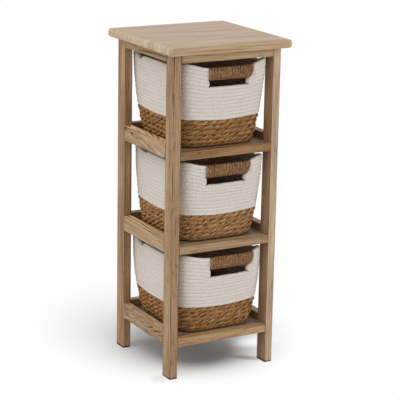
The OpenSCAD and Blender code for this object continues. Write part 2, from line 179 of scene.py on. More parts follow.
class HandleSettings(bpy.types.PropertyGroup):
    """Cord that is wound round each basket's handle"""

    turns: IntProperty(
        name="Turns", description="Turns of the pair of strands round a handle", default=17, min=10, max=24)
    strand_radius: FloatProperty(
        name="Strand radius", description="Radius of each of the two strands, wound side by side",
        default=0.00152, unit="LENGTH", min=0.001, max=0.0025)
    strand_offset: FloatProperty(
        name="Strand offset", description="Distance of each strand from the middle of the pair",
        default=0.00138, unit="LENGTH", min=0.0005, max=0.002)
    cord_brown: FloatVectorProperty(
        name="Cord, brown", description="Main colour of the handle's cord",
        default=(0.232, 0.108, 0.040), subtype="COLOR", min=0, max=1)
    cord_olive: FloatVectorProperty(
        name="Cord, olive", description="Colour of the cord's greener fibres",
        default=(0.25, 0.145, 0.055), subtype="COLOR", min=0, max=1)
    cord_red: FloatVectorProperty(
        name="Cord, red", description="Colour of the cord's redder fibres",
        default=(0.20, 0.085, 0.04), subtype="COLOR", min=0, max=1)
    cord_pale: FloatVectorProperty(
        name="Cord, pale", description="Colour of the cord's pale fibres",
        default=(0.42, 0.26, 0.125), subtype="COLOR", min=0, max=1)


class StageSettings(bpy.types.PropertyGroup):
    """Camera, floor and lamps"""

    camera_place: FloatVectorProperty(
        name="Camera place", description="Where the camera stands",
        default=(-1.843, -3.245, 1.394), subtype="TRANSLATION", unit="LENGTH")
    camera_azimuth: FloatProperty(
        name="Camera azimuth", description="Direction of view, turned from +Y towards +X",
        default=math.radians(29.75), subtype="ANGLE")
    camera_tilt: FloatProperty(
        name="Camera tilt", description="How far the camera looks down",
        default=math.radians(15.09), subtype="ANGLE")
    camera_roll: FloatProperty(
        name="Camera roll", description="Turn of the camera about its line of sight",
        default=math.radians(1.10), subtype="ANGLE")
    lens: FloatProperty(
        name="Lens", description="Focal length in millimetres, for a 36 mm sensor",
        default=145.0, min=20, max=300)
    world_strength: FloatProperty(
        name="World strength", description="Strength of the light from all round",
        default=0.62, min=0, max=2)


def basket_settings():
    """The settings that all baskets share."""
    return bpy.context.scene.basket_settings


def eased(share):
    """A share between 0 and 1, with a smooth start and end."""
    share = min(1.0, max(0.0, share))
    return share * share * (3 - 2 * share)


def eased_from(start, share):
    """0 up to a start and 1 at the end of a share, with a smooth slope between."""
    return eased((share - start) / (1 - start))


def between(low, high, share):
    """The number that lies a share of the way from one to another."""
    return low + (high - low) * share


def wobble(x, y, seed):
    """A smooth irregularity between about -1 and 1."""
    return noise.noise(Vector((x, y, seed)))


def circle_point(angle):
    """A point on a circle that stands for the way round a basket, so that its irregularities close."""
    return math.cos(angle) * 2.0, math.sin(angle) * 2.0


def wall_wave(kind, circle, row, seed):
    """An irregularity of a wall: how large it is, and how often it changes round the wall and up its rows."""
    size, often, by_row = kind
    return size * wobble(circle[0] * often, row * by_row, seed + circle[1] * often)


def strand_wave(kind, run, strand, seed):
    """An irregularity of a strand: its size, how often it changes, and how much the two strands differ."""
    size, often, by_strand = kind
    return size * wobble(run * often, strand * by_strand, seed)


class BasketShape:
    """Form of one basket's wall, worked out from its solids in the frame. Heights are from its underside."""

    def __init__(self, level):
        base_low, base_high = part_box(f"{level}_basket_base")
        rope_low, rope_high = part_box(f"{level}_basket_rope")
        wrap_low, wrap_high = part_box(f"{level}_basket_handle_wrap")
        self.level = level
        self.seed = LEVEL_SEED[level]
        self.floor = base_low.z
        self.base_top = base_high.z - base_low.z
        self.seam = rope_low.z - base_low.z
        self.rim = rope_high.z - base_low.z
        self.rim_half_w = rope_high.x
        self.rim_half_d = rope_high.y
        share = self.taper_share(self.base_top)
        base_half_w = (base_high.x - base_low.x) / 2
        base_half_d = (base_high.y - base_low.y) / 2
        base_mid_y = (base_high.y + base_low.y) / 2
        self.base_half_w = (base_half_w - self.rim_half_w * share) / (1 - share)
        self.base_half_d = (base_half_d - self.rim_half_d * share) / (1 - share)
        self.base_mid_y = base_mid_y / (1 - share)
        self.slot_low_x = wrap_low.x + CORD_POCKET
        self.slot_high_x = wrap_high.x - CORD_POCKET
        self.slot_mid_x = (self.slot_low_x + self.slot_high_x) / 2
        self.slot_half = (self.slot_high_x - self.slot_low_x) / 2

    def taper_share(self, height):
        """Share of the taper that the wall has gained at a height."""
        up = height / self.rim
        return up + 4 * WALL_BULGE * up * (1 - up)

    def point(self, turn, height, inset):
        """A point of the wall in the direction turn, a cosine and a sine, moved in from the outer face."""
        share = self.taper_share(height)
        up = height / self.rim
        power = between(BASE_SQUARENESS, RIM_SQUARENESS, up)
        full = FULLNESS[self.level] * math.sin(math.pi * min(1.0, max(0.0, up))) - DRAWN_IN[self.level] * up
        full -= BASE_ROUNDING * max(0.0, 1 - height / BASE_ROUNDING_HEIGHT) ** 2
        half_w = between(self.base_half_w, self.rim_half_w, share) + full - inset
        half_d = between(self.base_half_d, self.rim_half_d, share) + full - inset
        mid_y = between(self.base_mid_y, 0, share)
        reach = (abs(turn[0] / half_w) ** power + abs(turn[1] / half_d) ** power) ** (-1 / power)
        shift = between(BASE_SHIFT[self.level], RIM_SHIFT[self.level], up)
        return Vector((reach * turn[0] + shift, mid_y + reach * turn[1], height))

    def place(self, turn, height, inset):
        """The same point where the basket stands on its shelf."""
        return self.point(turn, height, inset) + Vector((0, 0, self.floor))

    def even_turns(self, count, height, inset=0.0):
        """Directions that divide the wall's outline at a height into equal lengths, and its whole length."""
        angles = [math.tau * i / OUTLINE_STEPS for i in range(OUTLINE_STEPS + 1)]
        points = [self.point((math.cos(angle), math.sin(angle)), height, inset) for angle in angles]
        lengths = [0.0]
        for start, end in zip(points, points[1:]):
            lengths.append(lengths[-1] + (end - start).length)
        total = lengths[-1]
        found = []
        step = 0
        for i in range(count):
            target = total * i / count
            while lengths[step + 1] < target:
                step += 1
            share = (target - lengths[step]) / (lengths[step + 1] - lengths[step])
            angle = math.tau * (step + share) / OUTLINE_STEPS
            found.append((math.cos(angle), math.sin(angle)))
        return found, total

    def beside_slot(self, x):
        """How far a place lies to the side of the cut-out."""
        return abs(x - self.slot_mid_x) - self.slot_half

    def rim_height(self, x, y):
        """Height of the rim at a place, which dips at the handle in front and along the sides."""
        run = HANDLE_DIP_RUN[self.level][0 if x < self.slot_mid_x else 1]
        at_handle = 1 - eased(self.beside_slot(x) / run) if y < 0 else 0.0
        at_side = eased((self.rim_half_d - RIM_KEEP - abs(y)) / SIDE_DIP_RUN)
        dips = HANDLE_DIP * at_handle + SIDE_DIP[self.level] * at_side
        return self.rim - RIM_SAG[self.level] - dips

    def seam_height(self, x, y):
        """Height of the seam at a place: it sags between the corners of the basket."""
        from_middle = min(abs(x) / self.rim_half_w, abs(y) / self.rim_half_d)
        corner = eased(from_middle / SEAM_CORNER_SHARE)
        return self.seam - SEAM_DROP[self.level] - SEAM_SAG + SEAM_CORNER_RISE * corner

    def rope_end_step(self, x, y):
        """Depth of the step in the left rim where the rope ends: steep in front and long behind."""
        if x > -self.rim_half_w / 2:
            return 0.0
        notch_y, depth = ROPE_END[self.level]
        if y < notch_y:
            return depth * (1 - eased((notch_y - y) / ROPE_END_RUN[0]))
        return depth * max(0.0, 1 - (y - notch_y) / ROPE_END_RUN[1])


def finish_mesh(bm, name, body, materials):
    """Merges the seams of a bmesh, makes it a smooth piece and has it ride on its body."""
    bmesh.ops.remove_doubles(bm, verts=bm.verts, dist=SAME_PLACE)
    for face in bm.faces:
        face.smooth = True
    mesh = bpy.data.meshes.new(name)
    bm.to_mesh(mesh)
    bm.free()
    for material in materials:
        mesh.materials.append(material)
    piece = bpy.data.objects.new(name, mesh)
    bpy.context.scene.collection.objects.link(piece)
    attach(piece, body)
    return piece


def bent_grid(bm, columns, rings, place, uv_place, material=0):
    """A grid whose points are moved one by one, with its own UV map set from column and ring numbers."""
    uv = bm.loops.layers.uv.verify()
    first_face = len(bm.faces)
    made = bmesh.ops.create_grid(bm, x_segments=columns, y_segments=rings, size=1, calc_uvs=True)
    across = columns + 1
    for number, vert in enumerate(made["verts"]):
        vert.co = place(number % across, number // across)
    bm.faces.ensure_lookup_table()
    for face in bm.faces[first_face:]:
        face.material_index = material
        for loop in face.loops:
            at = loop[uv].uv
            loop[uv].uv = uv_place(at.x * columns, at.y * rings)


def tube(bm, rings, sides, closed, uv_start, length, material=0):
    """A tube through rings, each a middle point and two half-axes. An open tube ends in points."""
    count = len(rings)
    steps = count if closed else count - 1
    waves = [(math.cos(math.tau * k / sides), math.sin(math.tau * k / sides)) for k in range(sides)]

    def place(column, ring):
        middle, side, out = rings[column % count]
        wave = waves[ring % sides]
        return middle + side * wave[0] + out * wave[1]

    def uv_place(column, ring):
        return (length * column / steps, uv_start + ring / sides)

    first_face = len(bm.faces)
    bent_grid(bm, steps, sides, place, uv_place, material)
    bm.faces.ensure_lookup_table()
    bmesh.ops.reverse_faces(bm, faces=bm.faces[first_face:])


# Rope walls

# Places of the rings across one row of rope, fine ones and coarse ones, and round the rim
FINE_STEPS = (0.0, 0.05, 0.13, 0.27, 0.5, 0.73, 0.87, 0.95)
COARSE_STEPS = (0.0, 0.12, 0.5, 0.88)
RIM_STEPS = 8
ROPE_COLUMNS = 480
# How narrow the grooves between rows of rope are
GROOVE_POWER = 4.5
# Distance between the ticks of the stitching along a row of rope, their height and their turn from row to row
ROPE_TICK = 0.0062
ROPE_TICK_HEIGHT = 0.00012
ROW_TURN = 2.3
# Irregularities of the rope: of its rows' height, of their swelling and of the whole wall's sway
ROPE_RISE = (0.0005, 3, 0.35)
ROPE_SWELL = (0.0005, 9, 1)
ROPE_SWAY = (0.0009, 1.4, 0.12)
# Rows of rope that the handle's cut-out interrupts
SLOT_ROWS = (9, 11)
# How far the rope under the cut-out sags, over how many rows and how far beside it
SLOT_SAG = {"bottom": 0.0053, "middle": 0.0046, "top": 0.0022}
SLOT_SAG_ROWS = 4
SLOT_SAG_RUN = 0.020
# Height and thickness of the handle's bar, and how far its middle lies under the rim
BAR_HEIGHT = 0.016
BAR_THICKNESS = 0.007
BAR_DEPTH = 0.0146
# How far the handle's bar goes on beyond the left and the right end of the cut-out, and how soon it widens
BAR_REACH = (0.002, 0.0175)
BAR_BLEND = 0.007
# How far the corners of the cut-out reach beyond the middle of its left and its right end, and their curve
SLOT_END_DEPTHS = (0.0030, 0.0055)
SLOT_END_POWER = 0.7
# How far each end of the cut-out lies beyond its solid's end
SLOT_END_OUTWARD = (0.0003, 0.0016)
# Over how many columns beside the cut-out's ends, and over how many rows past it, the wall is moved with them
SLOT_END_COLUMNS = 13
SLOT_END_FADE = 1.6
# How far the cut-out's edge bulges into it, and the share of the wall's thickness that bulges
BAND_BULGE = 0.0016
BAND_WIDTH = 0.75


def rope_rings(rows):
    """Rings up the outside, over the rim and down the inside, each with its row, depth and groove."""
    top = rows - 1

    def row_rings(row, steps, depth):
        if row == top:
            steps = [share for share in steps if share <= 0.5]
        return [(row + share, depth, abs(2 * share - 1) ** GROOVE_POWER) for share in steps]

    rings = []
    for row in range(rows):
        rings += row_rings(row, FINE_STEPS, 0.0)
    for k in range(1, RIM_STEPS):
        angle = math.pi * k / RIM_STEPS
        rings.append((top + 0.5 + 0.5 * math.sin(angle), (1 - math.cos(angle)) / 2, 0.0))
    for row in reversed(range(rows)):
        steps = FINE_STEPS if SLOT_ROWS[0] <= row < SLOT_ROWS[1] else COARSE_STEPS
        rings += reversed(row_rings(row, steps, 1.0))
    return rings


def rope_point(shape, turn, around, ring, length):
    """A point of the rope wall. around is the share of the way round, and length the rim's whole length."""
    basket = basket_settings()
    row, depth, groove = ring
    rows = basket.rope_rows
    above = shape.point(turn, shape.rim, 0)
    rim = shape.rim_height(above.x, above.y)
    seam = shape.seam_height(above.x, above.y)
    height = between(seam, rim, row / rows)
    if above.y < 0:
        near = 1 - eased(shape.beside_slot(above.x) / SLOT_SAG_RUN)
        height -= SLOT_SAG[shape.level] * near * eased(1 - abs(row - SLOT_ROWS[0]) / SLOT_SAG_ROWS)
    if row > rows - 1:
        height -= shape.rope_end_step(above.x, above.y) * (row - (rows - 1))
    circle = circle_point(math.tau * around)
    height += wall_wave(ROPE_RISE, circle, row, shape.seed)
    inset = depth * basket.wall_thickness + (1 - 2 * depth) * groove * basket.groove_depth
    lay = math.sin(math.tau * (around * length) / ROPE_TICK + math.floor(row) * ROW_TURN)
    swell = ROPE_TICK_HEIGHT * (1 - groove) * lay + wall_wave(ROPE_SWELL, circle, math.floor(row), 0)
    sway = wall_wave(ROPE_SWAY, circle, row, shape.seed * 2)
    inset -= (swell if depth < 0.5 else -swell) + sway
    place = shape.point(turn, height, inset)
    if place.y < 0 and row >= SLOT_ROWS[1]:
        place = squeeze_to_bar(shape, place, turn, between(seam, rim, SLOT_ROWS[1] / rows), rim, inset)
    return place


def squeeze_to_bar(shape, place, turn, low, rim, inset):
    """Draws the rope rows above a cut-out together into the bar that the cord is wound round."""
    thickness = basket_settings().wall_thickness
    from_left = (place.x - shape.slot_low_x + BAR_REACH[0]) / BAR_BLEND
    from_right = (shape.slot_high_x + BAR_REACH[1] - place.x) / BAR_BLEND
    share = eased(from_left) * eased(from_right)
    squeezed = rim - BAR_DEPTH + (place.z - (low + rim) / 2) * BAR_HEIGHT / (rim - low)
    centre = thickness / 2
    squeezed_inset = centre + (inset - centre) * BAR_THICKNESS / thickness
    return place.lerp(shape.point(turn, squeezed, squeezed_inset), share)


def slot_end_shift(shape, column, row):
    """How far a point of the wall moves along X so that the cut-out ends where it should, in a soft curve."""
    low, high = SLOT_ROWS
    up = min(1.0, max(0.0, (row - low) / (high - low)))
    beyond = max(low - row, row - high, 0.0)
    fade = eased(1 - beyond / SLOT_END_FADE)
    rounding = math.sin(math.pi * up) ** SLOT_END_POWER
    for side, (edge_column, edge_x, wanted_x) in enumerate(shape.slot_edges):
        away = abs(column - edge_column)
        if away < SLOT_END_COLUMNS:
            outward = SLOT_END_OUTWARD[side] + SLOT_END_DEPTHS[side] * (1 - rounding)
            outward = -outward if side == 0 else outward
            return (wanted_x - edge_x + outward) * eased(1 - away / SLOT_END_COLUMNS) * fade
    return 0.0


def find_slot_edges(shape, turns, height):
    """The columns nearest to the cut-out's two ends, where they are and where they should be."""
    points = [shape.point(turn, height, 0) for turn in turns]
    front = [i for i, p in enumerate(points) if p.y < -0.5 * shape.rim_half_d]
    shape.slot_edges = []
    for wanted in (shape.slot_low_x, shape.slot_high_x):
        nearest = min(front, key=lambda i: abs(points[i].x - wanted))
        shape.slot_edges.append((nearest, points[nearest].x, wanted))


def cut_slot(bm, shape, rings):
    """Opens the cut-out through the front wall and closes its edges with a rounded band."""
    low, high = SLOT_ROWS
    bm.faces.ensure_lookup_table()
    pairs = enumerate(zip(rings, rings[1:] + rings[:1]))
    open_rings = {j for j, (ring, after) in pairs
                  if low <= min(ring[0], after[0]) <= max(ring[0], after[0]) <= high}
    first, last = (edge[0] for edge in shape.slot_edges)
    doomed = [bm.faces[j * ROPE_COLUMNS + i] for j in open_rings for i in range(first, last)]
    bmesh.ops.delete(bm, geom=doomed, context="FACES")
    bmesh.ops.remove_doubles(bm, verts=bm.verts, dist=SAME_PLACE)
    loops = [e for e in bm.edges if e.is_boundary]
    band = bmesh.ops.bridge_loops(bm, edges=loops)
    across = {e for face in band["faces"] for e in face.edges} - set(loops)
    cut = bmesh.ops.subdivide_edges(bm, edges=list(across), cuts=3)
    round_band(shape, [g for g in cut["geom_inner"] if isinstance(g, bmesh.types.BMVert)])


def round_band(shape, verts):
    """Pushes the middle of a cut-out's edge band into the opening, so that the rope beside it looks round."""
    half_thickness = basket_settings().wall_thickness / 2
    low_z = min(v.co.z for v in verts)
    high_z = max(v.co.z for v in verts)
    mid_z = (low_z + high_z) / 2
    for vert in verts:
        off_wall = (vert.co - shape.point(unit_turn(shape, vert.co), vert.co.z, half_thickness)).length
        push = BAND_BULGE * math.sqrt(max(0.0, 1 - (off_wall / (half_thickness * BAND_WIDTH)) ** 2))
        from_end = shape.slot_half - abs(vert.co.x - shape.slot_mid_x)
        from_level = min(vert.co.z - low_z, high_z - vert.co.z)
        if from_end < from_level:
            vert.co.x -= math.copysign(push, vert.co.x - shape.slot_mid_x)
        else:
            vert.co.z += math.copysign(push, mid_z - vert.co.z)


def unit_turn(shape, place):
    """Direction of a point of the wall, as a cosine and a sine."""
    share = shape.taper_share(place.z)
    y = place.y - between(shape.base_mid_y, 0, share)
    length = math.hypot(place.x, y)
    return place.x / length, y / length


def make_rope_wall(level):
    """Coils the rope wall of one basket from its seam to its rim, and opens the cut-out for the hand."""
    shape = BasketShape(level)
    basket = basket_settings()
    rings = rope_rings(basket.rope_rows)
    turns, length = shape.even_turns(ROPE_COLUMNS, shape.rim)
    slot_height = between(shape.seam, shape.rim - HANDLE_DIP, sum(SLOT_ROWS) / 2 / basket.rope_rows)
    find_slot_edges(shape, turns, slot_height)
    bm = bmesh.new()

    def place(column, ring):
        column %= ROPE_COLUMNS
        this_ring = rings[ring % len(rings)]
        point = rope_point(shape, turns[column], column / ROPE_COLUMNS, this_ring, length)
        point.x += slot_end_shift(shape, column, this_ring[0])
        return point

    def uv_place(column, ring):
        row = rings[int(round(ring)) % len(rings)][0]
        return (length * column / ROPE_COLUMNS, row)

    bent_grid(bm, ROPE_COLUMNS, len(rings), place, uv_place)
    for number, face in enumerate(bm.faces):
        if rings[number // ROPE_COLUMNS][1] == 1:
            face.material_index = 1
    cut_slot(bm, shape, rings)
    bmesh.ops.translate(bm, verts=bm.verts, vec=(0, 0, shape.floor))
    piece = finish_mesh(bm, f"{level}_rope_wall", f"{level}_basket",
                        [rope_material(level), rope_material(level, inside=True)])
    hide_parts(f"{level}_basket_rope")


# Twisted straw

# Half the height of a row, as a share of the distance between rows, and half its depth in the wall
ROW_HALF_HEIGHT = 0.52
WALL_ROW_HALF_DEPTH = 0.0049
# How much the length of a twist differs from row to row, and how far the top row stands out
TWIST_SPREAD = 0.16
TOP_ROW_OUT = 0.0009
# How far each of a row's two strands lies from its middle, and how wide it is, as shares of the row's half
STRAND_AWAY = 0.50
STRAND_WIDTH = 0.80
# Irregularities: of the rows' height and depth, and of how loose and how fat their strands are
ROW_RISE = (0.0011, 3, 1.7)
ROW_PUSH = (0.0006, 5, 2.9)
STRAND_LOOSE = (0.15, 30, 5.0)
STRAND_FAT = (0.25, 45, 9.0)
# Rise over which the slope of the wall is measured
SLOPE_RISE = 0.004
# How far apart the rows lie along V in their UV map
ROW_UV = 7.0
# The bottom's rows: the length of a twist, the distance between rows, and the inset and lift of the first
BOTTOM_TWIST = 0.040
BOTTOM_PITCH = 0.0104
BOTTOM_EDGE_INSET = 0.0048
BOTTOM_EDGE_LIFT = 0.0020
# Half the depth of the bottom's first row and of the others, as shares of half its thickness
BOTTOM_EDGE_DEPTH = 0.98
BOTTOM_ROW_DEPTH = 0.86
# The dark core inside the rows, a sheet of painted shade: its columns, its outer and its inner face's inset,
# and how far it keeps above the base. In the bottom it is a plate, at shares of the bottom's thickness.
CORE_COLUMNS = 96
CORE_OUTER = 0.0040
CORE_INNER = 0.0058
CORE_STEPS = 6
CORE_LIFT = 0.0008
CORE_PLATE_LOW = 0.40
CORE_PLATE_THICKNESS = 0.16


def twisted_row(bm, path, outs, ups, row, uv_start):
    """Two strands twisted round each other along a closed path. row gives their sizes and irregularity."""
    count = len(path)
    runs = [0.0]
    for i in range(count):
        runs.append(runs[-1] + (path[(i + 1) % count] - path[i]).length)
    total = runs[-1]
    twists = max(3, round(total / row["twist"]))
    half_height = row["half_height"]
    flatness = row["half_depth"] / half_height
    for strand in range(2):
        rings = []
        for i in range(count):
            loose = strand_wave(STRAND_LOOSE, runs[i], strand, row["seed"])
            fat = 1 + strand_wave(STRAND_FAT, runs[i], strand, row["seed"] + 3)
            phase = math.tau * (twists * runs[i] / total + strand / 2 + loose)
            away = (outs[i] * math.cos(phase) * flatness + ups[i] * math.sin(phase)) * half_height
            beside = (ups[i] * math.cos(phase) - outs[i] * math.sin(phase) * flatness) * half_height
            middle = path[i] + away * STRAND_AWAY
            rings.append((middle, beside * STRAND_WIDTH * fat, away * STRAND_AWAY * fat))
        tube(bm, rings, row["sides"], True, uv_start + strand * 2, total)


def crossed(path, ups):
    """Directions across a closed path and square to the ups."""
    along = [(after - before).normalized() for before, after in zip(path[-1:] + path, path[1:] + path[:1])]
    return [way.cross(up).normalized() for way, up in zip(along, ups)]


def wall_row(bm, shape, number, height, inset, row):
    """One row of twisted straw round the wall. height gives its height at a place of the wall."""
    count = row["rings"]
    turns, _ = shape.even_turns(count, shape.seam / 2, inset)
    lift = Vector((0, 0, shape.floor))
    path = []
    ups = []
    for k, turn in enumerate(turns):
        circle = circle_point(math.tau * k / count)
        here = shape.point(turn, shape.seam / 2, inset)
        level = height(here.x, here.y) + wall_wave(ROW_RISE, circle, number, shape.seed)
        push = wall_wave(ROW_PUSH, circle, number, shape.seed * 3)
        here = shape.point(turn, level, inset + push)
        above = shape.point(turn, level + SLOPE_RISE, inset + push)
        path.append(here + lift)
        ups.append((above - here).normalized())
    twisted_row(bm, path, crossed(path, ups), ups, row, number * ROW_UV)


def floor_row(bm, shape, number, inset, height, row):
    """One loop of twisted straw laid flat in the basket's bottom, at an inset from its edge."""
    turns, _ = shape.even_turns(row["rings"], height, inset)
    path = [shape.place(turn, height, inset) for turn in turns]
    outs = [Vector((0, 0, 1))] * len(path)
    ups = [-way for way in crossed(path, outs)]
    twisted_row(bm, path, outs, ups, row, number * ROW_UV)


def make_braided_wall(level):
    """Plaits the rows of straw of one basket's lower wall, from its base to its seam."""
    shape = BasketShape(level)
    basket = basket_settings()
    bm = bmesh.new()
    rows = basket.braid_rows
    pitch = (shape.seam - shape.base_top) / rows
    for number in range(rows):
        share = (number + 0.5) / rows
        row = {"twist": basket.straw_twist * (1 + TWIST_SPREAD * wobble(number * 3.1, 0.5, shape.seed)),
               "half_height": pitch * ROW_HALF_HEIGHT, "half_depth": WALL_ROW_HALF_DEPTH,
               "sides": 10, "rings": 300, "seed": shape.seed + number * 4.7}
        inset = basket.wall_thickness / 2 - (TOP_ROW_OUT if number == rows - 1 else 0.0)
        wall_row(bm, shape, number,
                 lambda x, y: between(shape.base_top, shape.seam_height(x, y), share), inset, row)
    add_core_wall(bm, shape)
    piece = finish_mesh(bm, f"{level}_braided_wall", f"{level}_basket",
                        [straw_material(level), shade_core_material()])
    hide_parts(f"{level}_basket_weave")


def add_core_wall(bm, shape):
    """A thin dark wall of painted shade inside the twisted rows, which closes the gaps between them."""
    low = shape.base_top + CORE_LIFT
    high = shape.seam - SEAM_SAG - SEAM_DROP[shape.level]
    shares = [k / CORE_STEPS for k in range(CORE_STEPS + 1)]
    profile = [(between(low, high, share), CORE_OUTER) for share in shares]
    profile += [(between(high, low, share), CORE_INNER) for share in shares]
    turns, _ = shape.even_turns(CORE_COLUMNS, shape.seam)

    def place(column, ring):
        return shape.place(turns[column % CORE_COLUMNS], *profile[ring % len(profile)])

    bent_grid(bm, CORE_COLUMNS, len(profile), place, lambda column, ring: (column / CORE_COLUMNS, ring), 1)


def make_braided_bottom(level):
    """Plaits the loops of straw of one basket's bottom, from its edge to its middle."""
    shape = BasketShape(level)
    bm = bmesh.new()
    half_height = shape.base_top / 2
    edge = {"twist": BOTTOM_TWIST, "half_height": half_height, "half_depth": half_height * BOTTOM_EDGE_DEPTH,
            "sides": 10, "rings": 290, "seed": shape.seed + 71}
    wall_row(bm, shape, 9, lambda x, y: half_height + BOTTOM_EDGE_LIFT, BOTTOM_EDGE_INSET, edge)
    loops = int(shape.base_half_w / BOTTOM_PITCH)
    for ring in range(1, loops):
        row = {"twist": BOTTOM_TWIST, "half_height": BOTTOM_PITCH * ROW_HALF_HEIGHT,
               "half_depth": half_height * BOTTOM_ROW_DEPTH, "sides": 6,
               "rings": max(50, int(250 * (1 - ring / loops) + 50)), "seed": shape.seed + ring * 5.3}
        floor_row(bm, shape, 10 + ring, BOTTOM_EDGE_INSET + ring * BOTTOM_PITCH, half_height, row)
    add_core_plate(bm, shape)
    piece = finish_mesh(bm, f"{level}_braided_bottom", f"{level}_basket",
                        [straw_material(level), shade_core_material()])
    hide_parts(f"{level}_basket_base")


def add_core_plate(bm, shape):
    """A thin dark plate of painted shade inside the bottom, which closes the gaps between its rows."""
    turns, _ = shape.even_turns(CORE_COLUMNS, shape.base_top)
    plate = bmesh.ops.create_circle(bm, cap_ends=True, radius=1, segments=CORE_COLUMNS)
    for number, vert in enumerate(plate["verts"]):
        vert.co = shape.place(turns[number], shape.base_top * CORE_PLATE_LOW, CORE_INNER)
    faces = list({face for vert in plate["verts"] for face in vert.link_faces})
    raised = bmesh.ops.extrude_face_region(bm, geom=faces, use_keep_orig=True)
    moved = [g for g in raised["geom"] if isinstance(g, bmesh.types.BMVert)]
    bmesh.ops.translate(bm, verts=moved, vec=(0, 0, shape.base_top * CORE_PLATE_THICKNESS))
    every = list({face for vert in plate["verts"] + moved for face in vert.link_faces})
    bmesh.ops.recalc_face_normals(bm, faces=every)
    for face in every:
        face.material_index = 1


# Handle cords

# Points of the cord in one turn, and sides of a strand
CORD_STEPS = 40
CORD_SIDES = 9
# How far the first turn lies inside the cut-out, how far the last one lies beyond it, and half their height
CORD_START = 0.0017
CORD_END = 0.0068
CORD_HALF_HEIGHT = 0.0150
# Half the thickness of the winding, on the handle and at its right end, where it goes over the wall and rises
CORD_HALF_THICKNESS = (0.0078, 0.0090)
CORD_RISE = 0.0028
CORD_OVER_WALL = 0.84
# Power that makes the winding flatter in front and behind than a circle is
CORD_FLATNESS = 0.85
# How far the tops of the turns fan out to the left and to the right, up to which share of the handle and from
# which share on, and how high up on a turn the right fan sets in
LEFT_FAN = (0.0050, 0.22)
RIGHT_FAN = (0.0080, 0.42)
RIGHT_FAN_POWER = 2.2
# How far the tops of single turns lean aside
CORD_LEAN = 0.0013
# Irregularities of the cord: how far its two strands turn about each other, and how fat they are
CORD_LOOSE = 0.17
CORD_FAT = (0.14, 90, 4.0)
# The dark sleeve under the cord, painted shade: half its thickness and height, how far it goes on past the
# last turn, how much it rises from which share on, and how blunt its ends are
SLEEVE_HALF = (0.0062, 0.0118)
SLEEVE_BEYOND = 0.0050
SLEEVE_RISE = 0.0030
SLEEVE_RISE_START = 0.80
SLEEVE_END_POWER = 0.15
SLEEVE_STEPS = 24
SLEEVE_SIDES = 16
SLEEVE_UV = 8


def cord_points(shape, first_x, last_x, handle):
    """Points of the winding round a straight bar along X, with Y to the front and Z up."""
    half_height = CORD_HALF_HEIGHT - handle.strand_radius
    points = []
    for i in range(handle.turns * CORD_STEPS + 1):
        wound = i / CORD_STEPS
        share = wound / handle.turns
        up = -math.cos(math.tau * wound)
        out = math.sin(math.tau * wound)
        top = (up + 1) / 2
        climb = 1 - ((1 - up) / 2) ** RIGHT_FAN_POWER
        right_fan = RIGHT_FAN[0] * eased_from(RIGHT_FAN[1], share) * climb
        left_fan = LEFT_FAN[0] * eased((LEFT_FAN[1] - share) / LEFT_FAN[1]) * top
        lean = CORD_LEAN * wobble(math.floor(wound + 0.5) * 2.3, 0.7, shape.seed) * top
        over_wall = eased_from(CORD_OVER_WALL, share)
        half_thickness = between(*CORD_HALF_THICKNESS, over_wall)
        rounded_out = math.copysign(abs(out) ** CORD_FLATNESS, out)
        points.append(Vector((between(first_x, last_x, share) + right_fan - left_fan + lean,
                              rounded_out * half_thickness, half_height * up + CORD_RISE * over_wall * top)))
    return points


def wind_handle(level):
    """Winds a pair of cord strands round the handle of a basket."""
    shape = BasketShape(level)
    basket = basket_settings()
    handle = bpy.context.scene.handle_settings
    middle_z = shape.rim_height(shape.slot_mid_x, -shape.rim_half_d) - BAR_DEPTH
    first_x = shape.slot_low_x + CORD_START
    last_x = shape.slot_high_x + CORD_END
    points = cord_points(shape, first_x, last_x, handle)
    length = sum((b - a).length for a, b in zip(points, points[1:]))
    bm = bmesh.new()
    for strand in range(2):
        add_strand(bm, points, strand, length, handle)
    add_sleeve(bm, first_x, last_x + SLEEVE_BEYOND)
    for vert in bm.verts:
        front = math.hypot(vert.co.x, shape.rim_half_d)
        turn = (vert.co.x / front, -shape.rim_half_d / front)
        wall_y = shape.point(turn, middle_z, basket.wall_thickness / 2).y
        vert.co = Vector((vert.co.x, wall_y - vert.co.y, shape.floor + middle_z + vert.co.z))
    piece = finish_mesh(bm, f"{level}_handle_cord", f"{level}_basket",
                        [cord_material(), shade_core_material()])
    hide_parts(f"{level}_basket_handle_wrap")


def add_sleeve(bm, first_x, last_x):
    """A dark layer of straw under the cord, painted shade which closes the gaps between its turns."""
    rings = []
    for i in range(SLEEVE_STEPS + 1):
        share = i / SLEEVE_STEPS
        thin = 0.0 if i in (0, SLEEVE_STEPS) else math.sin(math.pi * share) ** SLEEVE_END_POWER
        rise = SLEEVE_RISE * eased_from(SLEEVE_RISE_START, share)
        middle = Vector((between(first_x, last_x, share), 0, rise))
        rings.append((middle, Vector((0, -SLEEVE_HALF[0] * thin, 0)), Vector((0, 0, SLEEVE_HALF[1] * thin))))
    tube(bm, rings, SLEEVE_SIDES, False, SLEEVE_UV, last_x - first_x, 1)


def add_strand(bm, points, strand, length, handle):
    """One of the two strands of cord, beside the line through the points."""
    last = len(points) - 1
    rings = []
    run = 0.0
    for i, point in enumerate(points):
        along = (points[min(last, i + 1)] - points[max(0, i - 1)]).normalized()
        away = Vector((0, point.y, point.z))
        out = (away - along * away.dot(along)).normalized()
        side = along.cross(out)
        if i:
            run += (point - points[i - 1]).length
        turn = math.pi * (strand + 0.5 + CORD_LOOSE * wobble(run * 60, 1.5, 7.5))
        spread = out * math.cos(turn) + side * math.sin(turn)
        thin = 0.0 if i in (0, last) else 1 + strand_wave(CORD_FAT, run, strand, 2.5)
        middle = point + spread * handle.strand_offset
        rings.append((middle, side * handle.strand_radius * thin, out * handle.strand_radius * thin))
    tube(bm, rings, CORD_SIDES, False, strand * 2, length)
